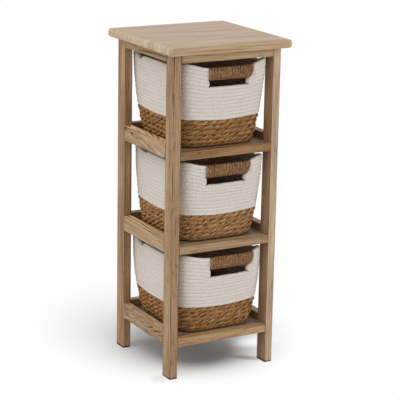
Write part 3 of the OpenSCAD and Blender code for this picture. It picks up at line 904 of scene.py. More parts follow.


# Materials

# Distances from a box's face between which what belongs to that face fades out: the painted light on a top
# face, the painted shade on a left side and the board's edge colours
FACE_BORDER = (0.0003, 0.0012)
# Patterns of wood: how fast each changes along the grain and across it, its detail, roughness and
# distortion, and the values of the noise between which it rises from nothing to its full strength
WOOD_PATTERNS = {
    "strong rings": (3.5, 55.0, 1.0, 0.5, 0.0, 0.42, 0.64),
    "pores": (26.0, 950.0, 3.0, 0.6, 0.0, 0.52, 0.72),
    "streaks": (4.5, 190.0, 3.0, 0.65, 0.0, 0.36, 0.66),
    "flecks": (34.0, 300.0, 2.0, 0.5, 0.8, 0.56, 0.70),
    "patches": (6.0, 30.0, 2.0, 0.5, 0.0, 0.36, 0.66),
}
# How far growth rings bend and ripple
RING_BEND = 0.034
RING_RIPPLE = 0.0022
# Places across a growth ring between which it gets dark and then light again
RING_DARKENS = (0.35, 0.88)
RING_LIGHTENS = (0.91, 1.0)
# How dark a weak ring is and how much more a strong one, and how dark pores and patches are
RING_WEAK = 0.30
RING_STRONG = 0.95
PORE_DARK = 0.22
PATCH_DARK = 0.30
# Distances from an edge between which a stain fades out, and from the floor between which the painted shade
# at a post's foot fades out, and how far patches shift them
EDGE_REACH = (0.0006, 0.0028)
EDGE_SHIFT = 0.0016
FOOT_SHADE_REACH = (0.0028, 0.0080)
FOOT_SHADE_SHIFT = 0.003
# How dark wood gets at most, as a share of the way to its dark colour and past it, and its deepest colour
DARKEST_SHARE = 1.7
DEEPEST_COLOUR = (0.045, 0.022, 0.009)
# The surface of wood, straw and rope: strength and height of its bumps, and how shiny it is
WOOD_SURFACE = (0.35, 0.0006, 0.3)
STRAW_SURFACE = (0.6, 0.0008, 0.35)
ROPE_SURFACE = (0.5, 0.0006, 0.2)


class Value:
    """A number that changes over a surface. What is worked out from it becomes nodes in its tree."""

    def __init__(self, tree, socket):
        self.tree = tree
        self.socket = socket

    def maths(self, operation, *others):
        """What a sum or function makes of the number and of others."""
        node = add(self.tree, "ShaderNodeMath", dict(enumerate((self, *others))), operation=operation)
        return Value(self.tree, node.outputs[0])

    def __add__(self, other):
        return self.maths("ADD", other)

    def __sub__(self, other):
        return self.maths("SUBTRACT", other)

    def __rsub__(self, other):
        node = add(self.tree, "ShaderNodeMath", {0: other, 1: self}, operation="SUBTRACT")
        return Value(self.tree, node.outputs[0])

    def __mul__(self, other):
        return self.maths("MULTIPLY", other)

    def __truediv__(self, other):
        return self.maths("DIVIDE", other)

    def __abs__(self):
        return self.maths("ABSOLUTE")

    def rise(self, low, high):
        """A smooth share: 0 up to the low limit and 1 from the high one on."""
        node = add(self.tree, "ShaderNodeMapRange", {"Value": self, "From Min": low, "From Max": high},
                   interpolation_type="SMOOTHSTEP")
        return Value(self.tree, node.outputs[0])

    def fall(self, low, high):
        """A smooth share: 1 up to the low limit and 0 from the high one on."""
        return 1 - self.rise(low, high)


def join(tree, value, socket):
    """Links a socket to where its value comes from, or sets it to a plain value."""
    if isinstance(value, Value):
        value = value.socket
    if isinstance(value, bpy.types.NodeSocket):
        tree.links.new(value, socket)
    elif socket.type == "RGBA" and len(value) == 3:
        socket.default_value = (*value, 1)
    else:
        socket.default_value = value


def fill(node, values):
    """Gives a node's inputs their values."""
    for key, value in values.items():
        join(node.id_data, value, node.inputs[key])


def add(tree, kind, inputs=None, **settings):
    """A new node with its settings and inputs."""
    node = tree.nodes.new(kind)
    for key, value in settings.items():
        setattr(node, key, value)
    fill(node, inputs or {})
    return node


def new_material(name):
    """A material, with its node tree and its shader."""
    material = bpy.data.materials.new(name)
    material.use_nodes = True
    return material, material.node_tree, material.node_tree.nodes["Principled BSDF"]


def group_material(name, group, bump_strength, bump_distance, specular):
    """A material with its finish from a node group. Also gives its coordinates and the group's node."""
    material, tree, shader = new_material(name)
    node = add(tree, "ShaderNodeGroup", node_tree=group)
    bump = add(tree, "ShaderNodeBump", {
        "Strength": bump_strength, "Distance": bump_distance, "Height": node.outputs["Height"]})
    fill(shader, {"Base Color": node.outputs["Colour"], "Roughness": node.outputs["Roughness"],
                  "Normal": bump.outputs[0], "Specular IOR Level": specular})
    return material, add(tree, "ShaderNodeTexCoord").outputs, node


def new_group(name, vectors, colours, numbers):
    """A node group with named inputs, which puts out a finish. Also gives what its inputs bring, by name."""
    group = bpy.data.node_groups.new(name, "ShaderNodeTree")
    for kind, names in (("Vector", vectors), ("Color", colours), ("Float", numbers)):
        for socket_name in names:
            group.interface.new_socket(socket_name, in_out="INPUT", socket_type=f"NodeSocket{kind}")
    for socket_name, kind in (("Colour", "Color"), ("Roughness", "Float"), ("Height", "Float")):
        group.interface.new_socket(socket_name, in_out="OUTPUT", socket_type=f"NodeSocket{kind}")
    brought = {socket.name: socket for socket in group.nodes.new("NodeGroupInput").outputs}
    return group, {key: Value(group, brought[key]) if key in numbers else brought[key]
                   for key in (*vectors, *colours, *numbers)}


def put_out(group, colour, roughness, height):
    """Ends a node group with the finish that it puts out."""
    add(group, "NodeGroupOutput", {"Colour": colour, "Roughness": roughness, "Height": height})


def vector_maths(tree, operation, *vectors):
    """What a sum makes of vectors."""
    return add(tree, "ShaderNodeVectorMath", dict(enumerate(vectors)), operation=operation).outputs[0]


def split(tree, vector):
    """The three numbers of a vector."""
    return [Value(tree, socket) for socket in add(tree, "ShaderNodeSeparateXYZ", {0: vector}).outputs]


def joined(tree, *numbers):
    """A vector from its three numbers."""
    return add(tree, "ShaderNodeCombineXYZ", dict(enumerate(numbers))).outputs[0]


def mix_colour(tree, share, first, second, blend_type="MIX", clamp_factor=True):
    """A mix of two colours: the first where share is 0 and the second where it is 1."""
    node = add(tree, "ShaderNodeMix", {0: share, 6: first, 7: second},
               data_type="RGBA", blend_type=blend_type, clamp_factor=clamp_factor)
    return node.outputs[2]


def shaded(tree, colour, light):
    """A colour made darker or lighter by a number."""
    return vector_maths(tree, "MULTIPLY", colour, light)


def noise_over(tree, vector, stretch=(1.0, 1.0, 1.0), detail=2.0, roughness=0.5, distortion=0.0):
    """Noise between about 0 and 1. Stretch is how fast it changes along each direction."""
    node = add(tree, "ShaderNodeTexNoise",
               {"Vector": vector_maths(tree, "MULTIPLY", vector, stretch), "Scale": 1.0, "Detail": detail,
                "Roughness": roughness, "Distortion": distortion})
    return Value(tree, node.outputs[0])


def edge_distance(tree, from_low, from_high):
    """Distance from a point on a box-like piece to its nearest edge: the middle one of three distances."""
    x, y, z = split(tree, vector_maths(tree, "MINIMUM", from_low, from_high))
    smaller = x.maths("MINIMUM", y)
    larger = x.maths("MAXIMUM", y)
    return smaller.maths("MAXIMUM", larger.maths("MINIMUM", z))


def grain_group():
    """Growth rings, pores, streaks and stained edges of wood, with painted light on a top face and painted
    shade on a left side and near the floor. Vector has the grain along X.
    """
    if "Wood grain" in bpy.data.node_groups:
        return bpy.data.node_groups["Wood grain"]
    group, given = new_group(
        "Wood grain", ("Vector", "Position", "Low", "High", "Left face shade"), ("Light", "Dark"),
        ("Ring width", "Rings", "Streaks", "Flecks", "Edges", "Upper face light", "Foot_shade"))
    vector = given["Vector"]

    def pattern(name):
        along, wide, detail, roughness, distortion, low, high = WOOD_PATTERNS[name]
        return noise_over(group, vector, (along, wide, wide), detail, roughness, distortion).rise(low, high)

    bend = noise_over(group, vector, (2.2, 9.0, 9.0), detail=1.0)
    ripple = noise_over(group, vector, (14.0, 60.0, 60.0))
    _, across, down = split(group, vector)
    radius = (across * across + down * down).maths("SQRT") + bend * RING_BEND + ripple * RING_RIPPLE
    rings = (radius / given["Ring width"]).maths("FRACT")
    ring = rings.rise(*RING_DARKENS) - rings.rise(*RING_LIGHTENS)
    ring = ring * (pattern("strong rings") * RING_STRONG + RING_WEAK)
    pores = pattern("pores")
    streaks = pattern("streaks")
    flecks = pattern("flecks")
    patches = pattern("patches")

    from_low = vector_maths(group, "SUBTRACT", given["Position"], given["Low"])
    from_high = vector_maths(group, "SUBTRACT", given["High"], given["Position"])
    from_left, _, above_foot = split(group, from_low)
    _, _, below_top = split(group, from_high)
    stain = (edge_distance(group, from_low, from_high) + patches * EDGE_SHIFT).fall(*EDGE_REACH)
    # Painted shade: darker towards the floor at the foot of a post.
    foot_shade = (above_foot + patches * FOOT_SHADE_SHIFT).fall(*FOOT_SHADE_REACH)
    dark = ring * given["Rings"] + streaks * given["Streaks"] + flecks * given["Flecks"]
    dark = dark + pores * PORE_DARK + patches * PATCH_DARK + stain * given["Edges"] + foot_shade * given["Foot_shade"]
    dark = dark.maths("MINIMUM", DARKEST_SHARE)
    colour = mix_colour(group, dark, given["Light"], given["Dark"], clamp_factor=False)
    colour = mix_colour(group, 1.0, colour, DEEPEST_COLOUR, "LIGHTEN")
    # Painted light: the top face of a piece is made lighter.
    light = below_top.fall(*FACE_BORDER) * given["Upper face light"] + 1
    # Painted shade: the left side of a piece is made darker, by its own amount in red, green and blue.
    light = vector_maths(group, "MULTIPLY_ADD", from_left.fall(*FACE_BORDER), given["Left face shade"], light)
    put_out(group, shaded(group, colour, light), dark * 0.16 + 0.50,
            ring * -0.25 + pores * -0.6 + streaks * -0.25)
    return group


# Turns a direction of the grain to X
GRAIN_TURN = {
    "X": Euler((0, 0, 0)),
    "Y": Euler((0, 0, math.radians(-90))),
    "Z": Euler((0, math.radians(90), 0)),
}
# How much of each effect a piece of oak shows, and where the middle of its growth rings lies beside it. The
# lightening of a top face is painted light; the darkening of a left side, for red, green and blue, and at the
# foot is painted shade.
OAK = {"rings": 0.58, "streaks": 0.50, "flecks": 0.32, "edges": 0.6, "upper face light": 0.0,
       "left face shade": (0, 0, 0), "foot_shade": 0.0, "pith": (0.05, 0.03), "tone": (1, 1, 1)}
# How dark the painted shade at the foot of a post is
POST_FOOT_SHADE = 1.25
# Numbers that make the grain of single pieces their own: a first one for each wood, and steps between pieces
BOARD_SEED = 3.0
OAK_SEED = 10.0
BEECH_SEED = 70.0
OAK_SEED_STEP = 1.9
PANEL_SEED_STEP = 3.3
# What sets single pieces apart. Some of the tones are painted light and shade, as said below. Lean is the
# slope of the grain on the outer face and into it, in degrees.
PIECE_LOOKS = {
    # Painted light: the aprons are toned lighter.
    "apron_front": {"tone": (1.08, 1.10, 1.09)},
    "apron_left": {"tone": (1.15, 1.15, 1.15)},
    "post_front_left": {"tone": (0.96, 0.94, 0.92), "rings": 0.34, "streaks": 0.42, "flecks": 0.60,
                        "edges": 1.7, "pith": (0.060, 0.050)},
    # Painted light and shade: the front right post is toned lighter and bluer as painted light, and its left
    # side is darkened as painted shade.
    "post_front_right": {"tone": (1.20, 1.33, 1.55), "rings": 0.34, "streaks": 0.36, "pith": (0.055, 0.060),
                         "left face shade": (-0.27, -0.40, -0.49)},
    # Painted shade: the back left post is toned darker.
    "post_back_left": {"tone": (0.92, 0.85, 0.76), "pith": (0.065, 0.045)},
    "post_back_right": {"pith": (0.050, 0.055)},
    # Painted light: the top and middle left rails are toned lighter, and all three left rails' top faces are
    # made lighter.
    "top_left_rail": {"tone": (1.16, 1.16, 1.17), "rings": 1.1, "lean": (9, 5), "pith": (-0.012, 0.004),
                      "upper face light": 0.60},
    "middle_left_rail": {"tone": (1.20, 1.23, 1.25), "rings": 0.75, "lean": (1.5, 1), "pith": (-0.030, 0.030),
                         "upper face light": 0.50},
    "bottom_left_rail": {"tone": (0.89, 0.88, 0.90), "rings": 0.85, "lean": (-4, 6), "pith": (-0.012, -0.004),
                         "upper face light": 0.50},
    # Painted shade: the right and back rails are toned darker, while their top faces are made lighter as
    # painted light.
    "top_right_rail": {"tone": (0.62, 0.52, 0.43), "pith": (0.050, 0.045), "upper face light": 0.9},
    "middle_right_rail": {"tone": (0.62, 0.52, 0.43), "pith": (0.045, 0.055), "upper face light": 0.9},
    "bottom_right_rail": {"tone": (0.72, 0.63, 0.54), "pith": (0.040, 0.050), "upper face light": 0.6},
    "top_back_rail": {"tone": (0.70, 0.62, 0.55), "pith": (0.030, 0.045), "upper face light": 0.8},
    "middle_back_rail": {"tone": (0.80, 0.74, 0.68), "pith": (0.030, 0.055), "upper face light": 0.5},
    "top_front_rail": {"tone": (0.79, 0.67, 0.50), "flecks": 0.65, "pith": (0.020, 0.045)},
    "middle_front_rail": {"tone": (0.96, 0.95, 0.94), "flecks": 0.40, "pith": (0.020, 0.045)},
    "bottom_front_rail": {"tone": (1.08, 1.05, 0.92), "flecks": 0.45, "pith": (0.020, 0.045)},
}
PANEL = {**OAK, "rings": 0.3, "streaks": 0.6, "flecks": 0.2, "edges": 0.3, "pith": (0.04, 0.12)}
BOARD = {**OAK, "rings": 0.45, "streaks": 0.45, "flecks": 0.18, "edges": 0.3, "pith": (0.03, 0.09),
         "lean": (0.6, 0.5)}
BEECH = {**OAK, "rings": 0.4, "streaks": 0.4, "edges": 0.2}
BEECH_LIGHT = (0.62, 0.46, 0.29)
BEECH_DARK = (0.48, 0.33, 0.19)
# Colours of the end grain's pale streaks on the board, and how far in from its ends they fade out
END_STREAK_LIGHT = (0.75, 0.605, 0.40)
END_STREAK_DARK = (0.56, 0.43, 0.27)
END_STREAK_REACH = (0.002, 0.011)


def toned(colour, tone):
    """A colour with its red, green and blue each made darker or lighter."""
    return [part * share for part, share in zip(colour, tone)]


def paint_wood(name, piece, grain, light, dark, seed, look):
    """Gives one piece wood whose growth rings have their middle beside it. Returns the node of its grain."""
    low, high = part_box(piece)
    turn = GRAIN_TURN[grain].to_matrix()
    slope, depth = look.get("lean", (1.2 * math.sin(seed * 2.1), 1.2 * math.cos(seed * 1.3)))
    turn = Euler((0, math.radians(slope), math.radians(depth))).to_matrix() @ turn
    offset = Vector((seed * 1.37, *look["pith"])) - turn @ ((low + high) / 2)
    material, place, grains = group_material(name, grain_group(), *WOOD_SURFACE)
    mapping = add(material.node_tree, "ShaderNodeMapping",
                  {"Vector": place["Object"], "Location": offset, "Rotation": turn.to_euler()})
    fill(grains, {"Vector": mapping.outputs[0], "Position": place["Object"], "Low": low, "High": high,
                  "Ring width": bpy.context.scene.wood_settings.ring_width,
                  "Light": toned(light, look["tone"]), "Dark": toned(dark, look["tone"])})
    fill(grains, {socket: look[socket.lower()] for socket in (
        "Rings", "Streaks", "Flecks", "Edges", "Upper face light", "Left face shade", "Foot_shade")})
    paint(piece, material)
    return grains


def colour_board_edges(grains, wood):
    """Gives the long edges of the board their own colours, and its ends the pale streaks of end grain."""
    tree = grains.id_data
    _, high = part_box("top_board")
    place = add(tree, "ShaderNodeTexCoord").outputs["Object"]
    x, y, _ = split(tree, place)
    side = (high.y - abs(y)).fall(*FACE_BORDER)
    end = (high.x - abs(x)).fall(*END_STREAK_REACH)
    streaks = noise_over(tree, place, (25.0, 330.0, 25.0), roughness=0.6).rise(0.40, 0.62) * end
    for socket, edge, pale in (("Light", wood.board_edge_light, END_STREAK_LIGHT),
                               ("Dark", wood.board_edge_dark, END_STREAK_DARK)):
        colour = mix_colour(tree, side, tuple(grains.inputs[socket].default_value), edge)
        fill(grains, {socket: mix_colour(tree, streaks, colour, pale)})


def paint(node, material):
    """Gives a CAD node one material."""
    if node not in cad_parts:
        raise RuntimeError(f"the frame has no node named {node}")
    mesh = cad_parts[node].data
    mesh.materials.clear()
    mesh.materials.append(material)


# Straw: how fast its spots, stalks and fibres change along a strand and across it
SPOTS = (38.0, 3.7)
STALKS = (70.0, 9.0)
FIBRES = (130.0, 30.0)
# Its colours beside gold: whether they come as spots or as stalks, how their noise is stretched, the values
# between which it rises, and how strong the colour gets
STRAW_HUES = {
    "Olive": ("spots", (1.0, 1.0, 1.0), (0.52, 0.66), 0.8),
    "Red": ("spots", (0.8, 1.9, 1.3), (0.55, 0.70), 0.6),
    "Pale": ("stalks", (0.55, 0.8, 1.7), (0.53, 0.67), 0.78),
}
# How much lighter it gets from stalk to stalk and from fibre to fibre, from its darkest on
STALK_LIGHT = 0.90
FIBRE_LIGHT = 0.28
STRAW_DARKEST = -0.60


def straw_group():
    """Dry stalks in a strand: U runs along it in metres, V is its number and the way round it."""
    if "Straw" in bpy.data.node_groups:
        return bpy.data.node_groups["Straw"]
    group, given = new_group("Straw", ("UV",), ("Gold", "Olive", "Red", "Pale"),
                             ("Contrast", "Lay", "Shade", "Seed"))
    run, strand, _ = split(group, given["UV"])
    around = run * given["Lay"] + strand
    places = {"spots": joined(group, run * SPOTS[0], strand.maths("FLOOR") * SPOTS[1], given["Seed"]),
              "stalks": joined(group, run * STALKS[0], around * STALKS[1], given["Seed"])}
    stalks = noise_over(group, places["stalks"])
    fibre_place = joined(group, run * FIBRES[0], around * FIBRES[1], given["Seed"])
    fibres = noise_over(group, fibre_place, roughness=0.6)
    colour = given["Gold"]
    for hue, (place, stretch, limits, strength) in STRAW_HUES.items():
        share = noise_over(group, places[place], stretch, detail=1.0).rise(*limits) * strength
        colour = mix_colour(group, share, colour, given[hue])
    light = stalks.rise(0.32, 0.68) * STALK_LIGHT + fibres.rise(0.35, 0.65) * FIBRE_LIGHT + STRAW_DARKEST
    light = ((light * given["Contrast"] + 1) * given["Shade"]).maths("MAXIMUM", 0)
    put_out(group, shaded(group, colour, light), fibres * 0.25 + 0.50, stalks + fibres * 0.5)
    return group


def straw_finish(name, colours, seed, contrast, lay):
    """A material of dry straw in four colours. lay is how often its fibres turn round a strand in a metre."""
    material, place, straw = group_material(name, straw_group(), *STRAW_SURFACE)
    fill(straw, {"UV": place["UV"], "Seed": seed, "Contrast": contrast, "Lay": lay, "Shade": 1.0})
    fill(straw, dict(zip(("Gold", "Olive", "Red", "Pale"), colours)))
    return material, place, straw


# How the straw of each basket differs in red, green and blue
STRAW_TONE = {"bottom": (0.94, 0.85, 0.73), "middle": (1.03, 1.01, 1.04), "top": (0.93, 0.85, 0.69)}
# Height over which the straw's shade above the shelf fades out, and how dark it is at the shelf
STRAW_SHADE_HEIGHT = 0.014
STRAW_SHADE = 0.5
# How strongly straw and cord change from dark to light, and how often their fibres turn in a metre
STRAW_CONTRAST = 1.18
STRAW_LAY = 6.0
CORD_CONTRAST = 1.85
CORD_LAY = 75.0
# Number that makes the irregularities of the cord's colour its own
CORD_SEED = 91.0
# Colours of the dark straw that paints the shade between the strands, and how fine their mottle is
SHADED_STRAW = ((0.085, 0.045, 0.02), (0.15, 0.085, 0.04), 260.0)
# Colours of the screws' zinc, and how fine its haze is
ZINC = ((0.52, 0.53, 0.54), (0.68, 0.68, 0.67), 700.0)


def straw_material(level):
    """Braided straw of one basket, in the shade near its shelf."""
    name = f"{level} braided straw"
    if name in bpy.data.materials:
        return bpy.data.materials[name]
    basket = basket_settings()
    colours = [toned(colour, STRAW_TONE[level]) for colour in (
        basket.straw_gold, basket.straw_olive, basket.straw_red, basket.straw_pale)]
    material, place, straw = straw_finish(name, colours, LEVEL_SEED[level], STRAW_CONTRAST, STRAW_LAY)
    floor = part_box(f"{level}_basket_base")[0].z
    height = split(material.node_tree, place["Object"])[2]
    fill(straw, {"Shade": height.rise(floor, floor + STRAW_SHADE_HEIGHT) * (1 - STRAW_SHADE) + STRAW_SHADE})
    return material


def cord_material():
    """Straw of the handles' cord, whose fibres turn often."""
    name = "Twisted straw cord"
    if name in bpy.data.materials:
        return bpy.data.materials[name]
    handle = bpy.context.scene.handle_settings
    colours = (handle.cord_brown, handle.cord_olive, handle.cord_red, handle.cord_pale)
    return straw_finish(name, colours, CORD_SEED, CORD_CONTRAST, CORD_LAY)[0]


def mottled_material(name, dark, light, frequency, detail=2.0):
    """A material whose colour changes in small spots between two. Also gives its shader and the spots."""
    material, tree, shader = new_material(name)
    place = add(tree, "ShaderNodeTexCoord").outputs["Object"]
    mottle = noise_over(tree, place, (frequency,) * 3, detail)
    fill(shader, {"Base Color": mix_colour(tree, mottle, dark, light)})
    return material, shader, mottle


def shade_core_material():
    """Dark straw, painted shade for the core and the sleeve deep between the strands."""
    name = "Shaded straw"
    if name in bpy.data.materials:
        return bpy.data.materials[name]
    material, shader, _ = mottled_material(name, *SHADED_STRAW)
    fill(shader, {"Roughness": 0.9})
    return material


# Rope: spacings of the stitches along a row and of the stitches that hold the seam, and how long their marks
# are, as distances from the middle between two
ROPE_STITCH = 0.0088
SEAM_STITCH = 0.0043
STITCH_END = (0.08, 0.16)
# Places between the middle of a row and its groove from which on the stitches and the groove show
STITCH_SIDE = (0.26, 0.36)
GROOVE_SIDE = (0.42, 0.5)
# How dark the painted shade in a groove is, and how much darker it gets in patches; and how dark the seam's
# stitches are
GROOVE_SHADE = 0.06
GROOVE_SHADE_PATCHES = 0.21
SEAM_DARK = 0.24
# How light plain rope is, and how much its patterns add to that
ROPE_PLAIN = 0.845
ROPE_LIGHT = {"lay": 0.05, "yarn": 0.22, "soil": 0.12, "stitch": 0.05, "speck": -0.27}


def rope_group():
    """Cotton rope in rows: U runs along a row in metres and V counts rows, whole at the grooves."""
    if "Rope rows" in bpy.data.node_groups:
        return bpy.data.node_groups["Rope rows"]
    group, given = new_group("Rope rows", ("UV",), ("Cotton",), ("Seed",))
    uv = given["UV"]
    run, row, _ = split(group, uv)
    from_middle = abs(row.maths("FRACT") - 0.5)
    loose = noise_over(group, uv, (45.0, 0.9, 1.0), detail=1.0)
    turned = run * (math.tau / ROPE_TICK) + loose * 9.0 + row.maths("FLOOR") * ROW_TURN
    lay = turned.maths("SINE") * 0.5 + 0.5
    yarn = noise_over(group, joined(group, run * 620.0, row * 6.0, given["Seed"]), roughness=0.6)
    soil = noise_over(group, joined(group, run * 18.0, row * 0.9, given["Seed"]))
    speck = noise_over(group, uv, (330.0, 3.1, 1.0)).rise(0.58, 0.70)
    stitch_middle = abs((run / ROPE_STITCH).maths("FRACT") - 0.5)
    stitch = stitch_middle.fall(*STITCH_END) * from_middle.rise(*STITCH_SIDE)
    # Painted shade in the grooves between rows, darker in patches.
    groove_shade_patches = noise_over(group, uv, (22.0, 0.8, 1.0), detail=1.0).rise(0.35, 0.65)
    light = ROPE_PLAIN - from_middle.rise(*GROOVE_SIDE) * (groove_shade_patches * GROOVE_SHADE_PATCHES + GROOVE_SHADE)
    patterns = {"lay": lay, "yarn": yarn, "soil": soil, "stitch": stitch, "speck": speck}
    for name, pattern in patterns.items():
        light = light + pattern * ROPE_LIGHT[name]
    seam_dots = (run * (math.tau / SEAM_STITCH)).maths("SINE") * SEAM_DARK + SEAM_DARK
    light = light * (1 - row.fall(0.06, 0.26) * seam_dots)
    put_out(group, shaded(group, given["Cotton"], light), yarn * 0.1 + 0.82,
            lay * 0.5 + yarn * 0.8 + stitch * 0.8)
    return group


def rope_material(level, inside=False):
    """Stitched cotton rope for one basket, browner and darker on its inside as painted shade."""
    name = f"{level} cotton rope inside" if inside else f"{level} cotton rope"
    basket = basket_settings()
    material, place, rope = group_material(name, rope_group(), *ROPE_SURFACE)
    fill(rope, {"UV": place["UV"], "Seed": LEVEL_SEED[level],
                "Cotton": basket.rope_inside_shaded if inside else basket.rope_colour})
    fill(material.node_tree.nodes["Principled BSDF"], {"Sheen Weight": 0.12})
    return material


def grain_of(side):
    """Direction of the grain of a piece on one side of the unit."""
    return "X" if side in ("front", "back") else "Y"


def oak_pieces():
    """Every post, apron and rail, with the direction of its grain."""
    pieces = [(f"post_{corner}", "Z") for corner in ("front_left", "front_right", "back_left", "back_right")]
    for group in ("apron", *LEVELS):
        for side in SIDES:
            node = f"apron_{side}" if group == "apron" else f"{group}_{side}_rail"
            pieces.append((node, grain_of(side)))
    return pieces


class DRAWER_UNIT_OT_finish_wood(bpy.types.Operator):
    """Gives the posts, rails, aprons, panels and the board their wood"""

    bl_idname = "drawer_unit.finish_wood"
    bl_label = "Finish the wood"

    def execute(self, context):
        wood = context.scene.wood_settings
        grains = paint_wood("Oak board", "top_board", "X", wood.board_light_and_sheen, wood.board_dark_and_sheen,
                            BOARD_SEED, BOARD)
        colour_board_edges(grains, wood)
        seed = OAK_SEED
        for node, grain in oak_pieces():
            seed += OAK_SEED_STEP
            # Posts are darkened at their foot as painted shade.
            look = {**OAK, "foot_shade": POST_FOOT_SHADE if node.startswith("post") else 0.0, **PIECE_LOOKS.get(node, {})}
            paint_wood(f"Oak {node}", node, grain, wood.oak_light, wood.oak_dark, seed, look)
        for level in LEVELS:
            seed += PANEL_SEED_STEP
            paint_wood(f"Panel {level}", f"{level}_shelf_panel", "X", wood.panel_light, wood.panel_dark,
                       seed, PANEL)
        return {"FINISHED"}


class DRAWER_UNIT_OT_finish_fastenings(bpy.types.Operator):
    """Gives the dowels their beech and the screws their steel"""

    bl_idname = "drawer_unit.finish_fastenings"
    bl_label = "Finish dowels and screws"

    def execute(self, context):
        for number, side in enumerate(("left", "right", "front", "back")):
            node = f"{side}_dowels"
            paint_wood(f"Beech {node}", node, grain_of(side), BEECH_LIGHT, BEECH_DARK,
                       BEECH_SEED + number, BEECH)
        steel, shader, haze = mottled_material("Zinc plated steel", *ZINC, detail=3.0)
        fill(shader, {"Roughness": haze * 0.25 + 0.25, "Metallic": 1.0})
        paint("board_screws", steel)
        return {"FINISHED"}


class DRAWER_UNIT_OT_make_rope_walls(bpy.types.Operator):
    """Coils the white rope walls of the baskets, with their cut-outs"""

    bl_idname = "drawer_unit.make_rope_walls"
    bl_label = "Make the rope walls"

    def execute(self, context):
        for level in LEVELS:
            make_rope_wall(level)
        return {"FINISHED"}


class DRAWER_UNIT_OT_make_braided_walls(bpy.types.Operator):
    """Plaits the brown lower walls of the baskets"""

    bl_idname = "drawer_unit.make_braided_walls"
    bl_label = "Make the braided walls"

    def execute(self, context):
        for level in LEVELS:
            make_braided_wall(level)
        return {"FINISHED"}


class DRAWER_UNIT_OT_make_braided_bottoms(bpy.types.Operator):
    """Plaits the bottoms of the baskets"""

    bl_idname = "drawer_unit.make_braided_bottoms"
    bl_label = "Make the braided bottoms"

    def execute(self, context):
        for level in LEVELS:
            make_braided_bottom(level)
        return {"FINISHED"}


class DRAWER_UNIT_OT_wind_handles(bpy.types.Operator):
    """Winds the cord round the handles of the baskets"""

    bl_idname = "drawer_unit.wind_handles"
    bl_label = "Wind the handles"

    def execute(self, context):
        for level in LEVELS:
            wind_handle(level)
        return {"FINISHED"}


# Each lamp: where it shines from, how strong, how wide in degrees, and its colour
SUNS = {
    "Left light": ((-1.0, -0.17, 1.0), 1.20, 60, (1.0, 0.995, 0.985)),
    "Right light": ((0.9, -0.75, 0.35), 1.25, 60, (0.985, 1.0, 1.02)),
}
WHITE = (1, 1, 1)
# Half the width of the floor
FLOOR_HALF = 15
# Ovals on the floor: middle, turn in degrees and half sizes. Each shade by a foot also has its depth.
UNIT_SHADOW = ((0.009, -0.015), -19, (0.308, 0.342))
LIT_PATCH = ((0.185, -0.005), 0, (0.085, 0.052))
FOOT_SHADES = (
    (((0.093, -0.088), -40, (0.066, 0.022)), 0.75),
    (((-0.158, -0.125), 0, (0.034, 0.034)), 0.38),
)
# How much nearer the shadow's outline comes for each metre towards the front, in its half sizes
SHADOW_LEAN = 1.55
# Distances, in those half sizes, between which the shadow gives way to white, and how soon; distances between
# which its grey gets lighter, the darkest grey and how much lighter it gets; and the lit patch's strength
SHADOW_EDGE = (0.273, 1.008)
SHADOW_POWER = 0.68
SHADOW_CORE = (0.25, 0.65)
SHADOW_GREY = (0.52, 0.20)
LIT_STRENGTH = 0.8
# Distances from the middle of a small patch, in its half sizes, between which it fades out
PATCH_EDGE = (0.15, 1.0)


def add_sun(name, direction, strength, spread, colour):
    """A wide soft light from far away, shining from a direction."""
    data = bpy.data.lights.new(name, "SUN")
    data.energy = strength
    data.color = colour
    data.angle = math.radians(spread)
    lamp = bpy.data.objects.new(name, data)
    bpy.context.scene.collection.objects.link(lamp)
    lamp.rotation_euler = Vector(direction).to_track_quat("Z", "Y").to_euler()


def seen_directly(tree):
    """1 for rays from the camera, a mirror or glass, and 0 for the light that falls on things."""
    rays = add(tree, "ShaderNodeLightPath").outputs
    seen = Value(tree, rays["Is Camera Ray"]).maths("MAXIMUM", rays["Is Glossy Ray"])
    return seen.maths("MAXIMUM", rays["Is Transmission Ray"])


def oval_distance(tree, place, middle, turn, half_sizes):
    """How far a point of the floor lies from the middle of an oval: 1 on its outline."""
    mapping = add(tree, "ShaderNodeMapping",
                  {"Vector": place, "Location": (*middle, 0), "Rotation": (0, 0, math.radians(turn)),
                   "Scale": (*half_sizes, 1)}, vector_type="TEXTURE")
    distance = add(tree, "ShaderNodeVectorMath", {0: mapping.outputs[0]}, operation="LENGTH")
    return Value(tree, distance.outputs["Value"])


